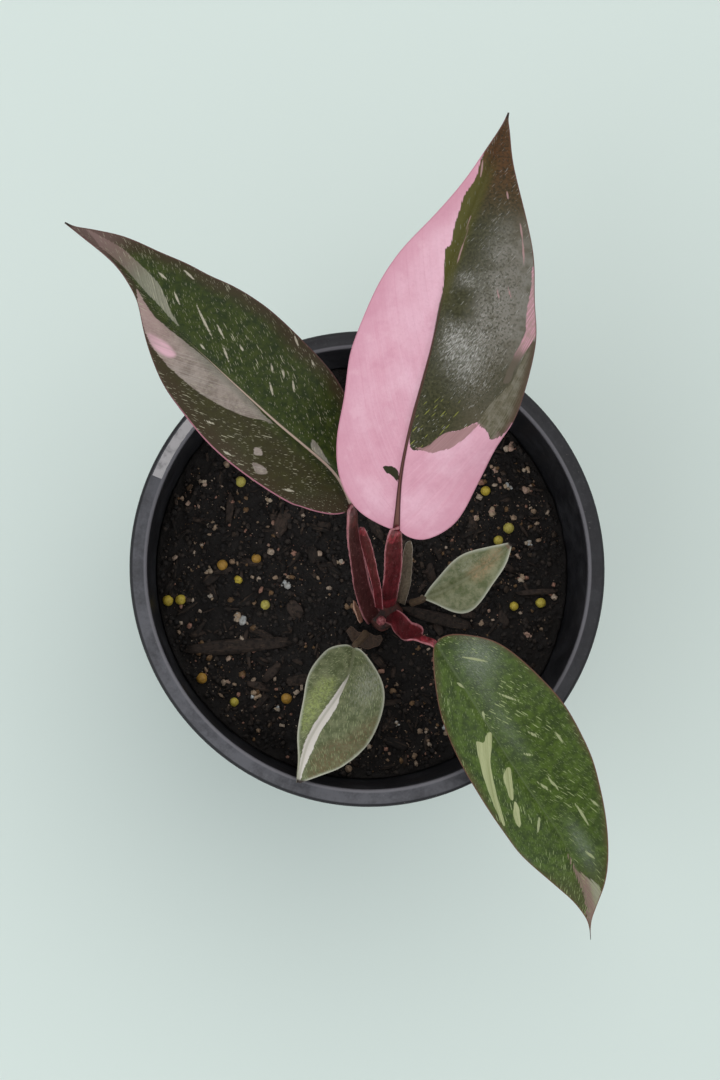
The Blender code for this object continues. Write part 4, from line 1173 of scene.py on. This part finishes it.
def block(cuts):
    """A slightly rounded box with each face cut into a grid, for splinters, bark and grit."""
    made = bmesh.new()
    bmesh.ops.create_cube(made, size=2)
    bmesh.ops.subdivide_edges(made, edges=made.edges[:], cuts=cuts, use_grid_fill=True)
    bmesh.ops.triangulate(made, faces=made.faces[:])
    points, faces = arrays_of(made)
    points = 0.72 * points + 0.28 * 1.25 * unit(points)
    points[:, 1] *= 1 - 0.4 * np.abs(points[:, 0]) ** 3
    points[:, 2] *= 1 - 0.5 * np.abs(points[:, 0]) ** 2
    return points, faces


def scattered(name, shape, grains, material, roughness):
    """One mesh of many grains. Each has a centre, three half sizes, a turn and a tint."""
    base, faces = shape
    points, corners, tints, fibres = [], [], [], []
    for index, (centre, sizes, turn, tint) in enumerate(grains):
        apart = Vector((9.7 * index, 3.1 * index, 0))
        swell = np.array([noise.noise_vector(Vector(p) * 1.2 + apart) for p in base])
        grain = base * (1 + roughness * swell) * sizes
        points.append(grain @ np.array(Euler(turn).to_matrix()).T + centre)
        corners.append(faces + index * len(base))
        tints.append(np.full(len(base), tint))
        fibres.append(grain * (0.12, 1, 1) + (0, 0, 5 * index))
    obj = mesh_object(name, np.vstack(points), np.vstack(corners).tolist(), [material])
    give(obj, "tint", np.concatenate(tints))
    give(obj, "fibre", np.vstack(fibres))
    finished(obj, "soil")


def clear_spot(rng, taken, reach):
    """The CAD's rule for a free spot on the soil."""
    while True:
        radius = (wall_radius(SOIL_LEVEL) - 3 - reach) * rng.random() ** 0.5
        angle = rng.uniform(0, 2 * pi)
        spot = Vector((radius * cos(angle), radius * sin(angle), 0))
        if (spot - STEM).length < 15 + reach:
            continue
        if all((spot - other).length > reach + size for other, size in taken):
            taken.append((spot, reach))
            return spot.x, spot.y


def loose_pieces():
    """The CAD's loose chips and lumps, by the same seeded draws."""
    rng = random.Random(CAD_SEED)
    taken = [(Vector((x, y, 0)), PRILL_RADIUS + 0.3) for x, y in PRILLS]
    taken += [(Vector((x, y, 0)), r + 0.3) for x, y, r in LUMPS]
    taken += [(Vector((x, y, 0)), length / 2) for x, y, length, width, turn in BARK]
    chips, lumps = [], []
    for _ in range(LOOSE_CHIPS):
        length, width = rng.uniform(4, 9), rng.uniform(2, 4)
        x, y = clear_spot(rng, taken, length / 2)
        chips.append((x, y, length, width, rng.uniform(0, 180), rng.uniform(-0.15, 0.15)))
    for _ in range(LOOSE_LUMPS):
        radius = rng.uniform(1.0, 1.9)
        x, y = clear_spot(rng, taken, radius + 0.3)
        lumps.append((x, y, radius))
        rng.uniform(0, 3)  # the CAD draws a turn here
    return chips, lumps


def random_spot(rng, margin=1):
    radius = (wall_radius(SOIL_LEVEL) - margin) * rng.random() ** 0.5
    angle = rng.uniform(0, 2 * pi)
    return radius * cos(angle), radius * sin(angle)


def random_turn(rng):
    return [rng.uniform(0, 2 * pi) for _ in range(3)]


def tumbled(rng, centre, size, width, height):
    """A grain with its other half sizes in these ranges of its longest one, turned at random."""
    sizes = (size, size * rng.uniform(*width), size * rng.uniform(*height))
    return centre, sizes, random_turn(rng), rng.random()


def crumbs(rng):
    for _ in range(CRUMBS):
        x, y = random_spot(rng)
        size = 0.3 + 0.8 * rng.random() ** 3
        yield tumbled(rng, (x, y, fine_soil_height(x, y) + 0.25 * size), size, (0.6, 1), (0.45, 0.9))


def bark_chips(rng, chips):
    for x, y, length, width, degrees in BARK:
        turn = (0.02, 0.03, radians(degrees))
        yield (x, y, soil_height(x, y) + 0.4), (length / 2, width / 2, 0.9), turn, rng.uniform(0.4, 0.9)
    for x, y, length, width, degrees, tilt in chips:
        turn = (0.5 * tilt, tilt, radians(degrees))
        yield (x, y, soil_height(x, y) + 0.1), (length / 2, width / 2, 0.9), turn, rng.random()


def splinters(rng):
    for _ in range(SPLINTERS):
        x, y = random_spot(rng, 3)
        length = 0.8 + 2.6 * rng.random() ** 2
        sizes = (length, length * rng.uniform(0.12, 0.45), rng.uniform(0.2, 0.5))
        turn = (rng.uniform(-0.4, 0.4), rng.uniform(-0.35, 0.35), rng.uniform(0, 2 * pi))
        yield (x, y, fine_soil_height(x, y) + 0.3), sizes, turn, rng.random()


def grit(rng, count, smallest, largest):
    """Pale grit, most of it in loose drifts."""
    made = 0
    while made < count:
        x, y = random_spot(rng, 2)
        drift = max(exp(-((x - p) ** 2 + (y - q) ** 2) / reach**2) for p, q, reach in DRIFTS)
        if 0.8 * noise.noise(Vector((x / 9, y / 9, 4))) + 0.7 * drift + rng.uniform(-0.35, 0.35) < 0.25:
            continue
        made += 1
        size = smallest + (largest - smallest) * rng.random() ** 2
        yield tumbled(rng, (x, y, fine_soil_height(x, y) + 0.4 * size), size, (0.45, 1), (0.4, 0.9))


def clusters(rng, lumps):
    """Each lump is a knot of grains of much the same tint."""
    for x, y, r in lumps:
        tint = rng.random()
        for _ in range(GRAINS_IN_LUMP):
            out, size = r * rng.uniform(0.1, 0.75), r * rng.uniform(0.25, 0.6)
            angle = rng.uniform(0, 2 * pi)
            centre = (x + out * cos(angle), y + out * sin(angle), soil_height(x, y) + 0.4 * size)
            *grain, other = tumbled(rng, centre, size, (0.7, 1), (0.6, 0.9))
            yield *grain, (tint + 0.3 * (other - 0.5)) % 1


def prills(rng):
    for number, (x, y) in enumerate(PRILLS):
        radius = PRILL_RADIUS * rng.uniform(0.72, 0.95)
        tint = 0.1 if number in OCHRE_PRILLS else rng.uniform(0.35, 1)
        yield (x, y, soil_height(x, y) + 0.3 * radius), (radius,) * 3, random_turn(rng), tint


def grain_material(name, rough, *colours):
    """Grains whose colour follows their tint, from the first colour to the last."""
    n = Skin(name, 0.4)
    mottle = n.noise(1.6, 4, 0.65)
    n.colour = colours[0]
    for number, colour in enumerate(colours[1:], 1):
        step = number / len(colours)
        n.over(n.ramp("tint", step - 0.08, step + 0.08), colour)
    n.over(n.ramp(mottle, 0.4, 0.7, 0, 0.5), darker(colours[0], 0.45))
    n.bump(mottle, 0.3, 0.6)
    return n.finish(mottle, rough - 0.1, rough + 0.1)


def bark_material():
    """Weathered bark whose fibres run along each chip."""
    n = Skin("bark_brown", 0.25)
    fibre = n.noise(2.2, 5, 0.7, n.node("Attribute", attribute_name="fibre")["Vector"])
    n.colour = n.mix(n.ramp("tint", 0.3, 0.95), (0.010, 0.008, 0.007), (0.046, 0.032, 0.025))
    n.over(n.ramp(fibre, 0.5, 0.72, 0, 0.8), (0.11, 0.076, 0.054))
    n.over(n.ramp(n.noise(0.9, 4), 0.45, 0.65, 0, 0.7), (0.007, 0.0058, 0.005))
    n.bump(fibre, 0.6, 0.9)
    return n.finish(fibre, 0.65, 0.9)


def soil():
    rng = random.Random(GRAIN_SEED)
    noise.seed_set(GRAIN_SEED)  # otherwise noise_vector differs from run to run
    soil_body()
    chips, lumps = loose_pieces()
    peat = grain_material("crumb_peat", 0.85, (0.0075, 0.006, 0.0055), (0.014, 0.011, 0.0095),
                          (0.03, 0.022, 0.017))
    scattered("soil_crumbs", ball(1), crumbs(rng), peat, 0.5)
    bark = bark_material()
    scattered("soil_bark", block(7), bark_chips(rng, chips), bark, 0.3)
    scattered("soil_splinters", block(1), splinters(rng), bark, 0.35)
    pale = grain_material("grit_pale", 0.7, (0.045, 0.03, 0.02), (0.17, 0.095, 0.04), (0.30, 0.21, 0.14),
                          (0.42, 0.33, 0.25), (0.33, 0.17, 0.12))
    scattered("soil_grit", block(2), grit(rng, GRIT, 0.25, 0.95), pale, 0.55)
    scattered("soil_dust", ball(1), grit(rng, DUST, 0.1, 0.28), pale, 0.5)
    white = grain_material("perlite_white", 0.75, (0.36, 0.26, 0.17), (0.50, 0.41, 0.31),
                           (0.42, 0.27, 0.21), (0.36, 0.27, 0.18), (0.44, 0.47, 0.47))
    scattered("soil_perlite", ball(3), clusters(rng, [*LUMPS, *lumps]), white, 0.5)
    yellow = grain_material("prill_yellow", 0.45, (0.40, 0.22, 0.035), (0.52, 0.40, 0.045),
                            (0.50, 0.42, 0.06), (0.47, 0.42, 0.09))
    scattered("soil_prills", ball(4), prills(rng), yellow, 0.1)


# Studio


def area_light(name, location, target, size, power, colour):
    light = bpy.data.lights.new(name, "AREA")
    light.shape = "DISK"
    light.size = size
    light.energy = power
    light.color = colour
    obj = bpy.data.objects.new(name, light)
    bpy.context.scene.collection.objects.link(obj)
    obj.location = location
    obj.rotation_euler = (Vector(target) - Vector(location)).to_track_quat("-Z", "Y").to_euler()


def world_light():
    """Bright towards the horizon and dim straight above, where glossy leaves would mirror it."""
    world = bpy.data.worlds.new("studio")
    bpy.context.scene.world = world
    world.use_nodes = True
    tree = world.node_tree
    direction = tree.nodes.new("ShaderNodeTexCoord")
    split = tree.nodes.new("ShaderNodeSeparateXYZ")
    ramp = tree.nodes.new("ShaderNodeMapRange")
    for socket, value in {"From Min": 0.45, "From Max": 0.95, "To Min": 1.15, "To Max": 0.12}.items():
        ramp.inputs[socket].default_value = value
    background = tree.nodes["Background"].inputs
    background["Color"].default_value = (0.95, 0.98, 1.0, 1.0)
    tree.links.new(direction.outputs["Generated"], split.inputs[0])
    tree.links.new(split.outputs["Z"], ramp.inputs["Value"])
    tree.links.new(ramp.outputs["Result"], background["Strength"])


def studio():
    n = Skin("floor_pale", 0.1)
    n.colour = n.mix(n.noise(0.004, 2), (0.715, 0.805, 0.760), (0.725, 0.815, 0.770))
    x = FLOOR_SIZE
    corners = [(-x, -x, 0), (x, -x, 0), (x, x, 0), (-x, x, 0)]
    floor = mesh_object("floor", corners, [(0, 1, 2, 3)], [n.finish_even(0.9)], smooth=False)
    world_light()
    plant = (0, 0, 0.12)
    area_light("key", (0.2, 0.45, 1.25), plant, 1.2, 4.6, (1.0, 0.98, 0.96))
    area_light("fill", (-0.7, -0.3, 1.0), plant, 1.0, 3.6, (0.96, 0.98, 1.0))


def camera():
    data = bpy.data.cameras.new("camera")
    data.sensor_width = 36
    data.lens = LENS
    data.clip_start = 0.01
    obj = bpy.data.objects.new("camera", data)
    bpy.context.scene.collection.objects.link(obj)
    forward = (CAMERA_TARGET - CAMERA).normalized()
    right = forward.cross(Vector((0, 1, 0))).normalized()
    up = right.cross(forward)
    obj.matrix_world = Matrix((right, up, -forward)).transposed().to_4x4()
    obj.location = CAMERA * MM
    bpy.context.scene.camera = obj


bpy.context.scene.view_settings.view_transform = "Standard"
pot()
tape()
soil()
stem()
stalks()
bud()
blades()
studio()
camera()
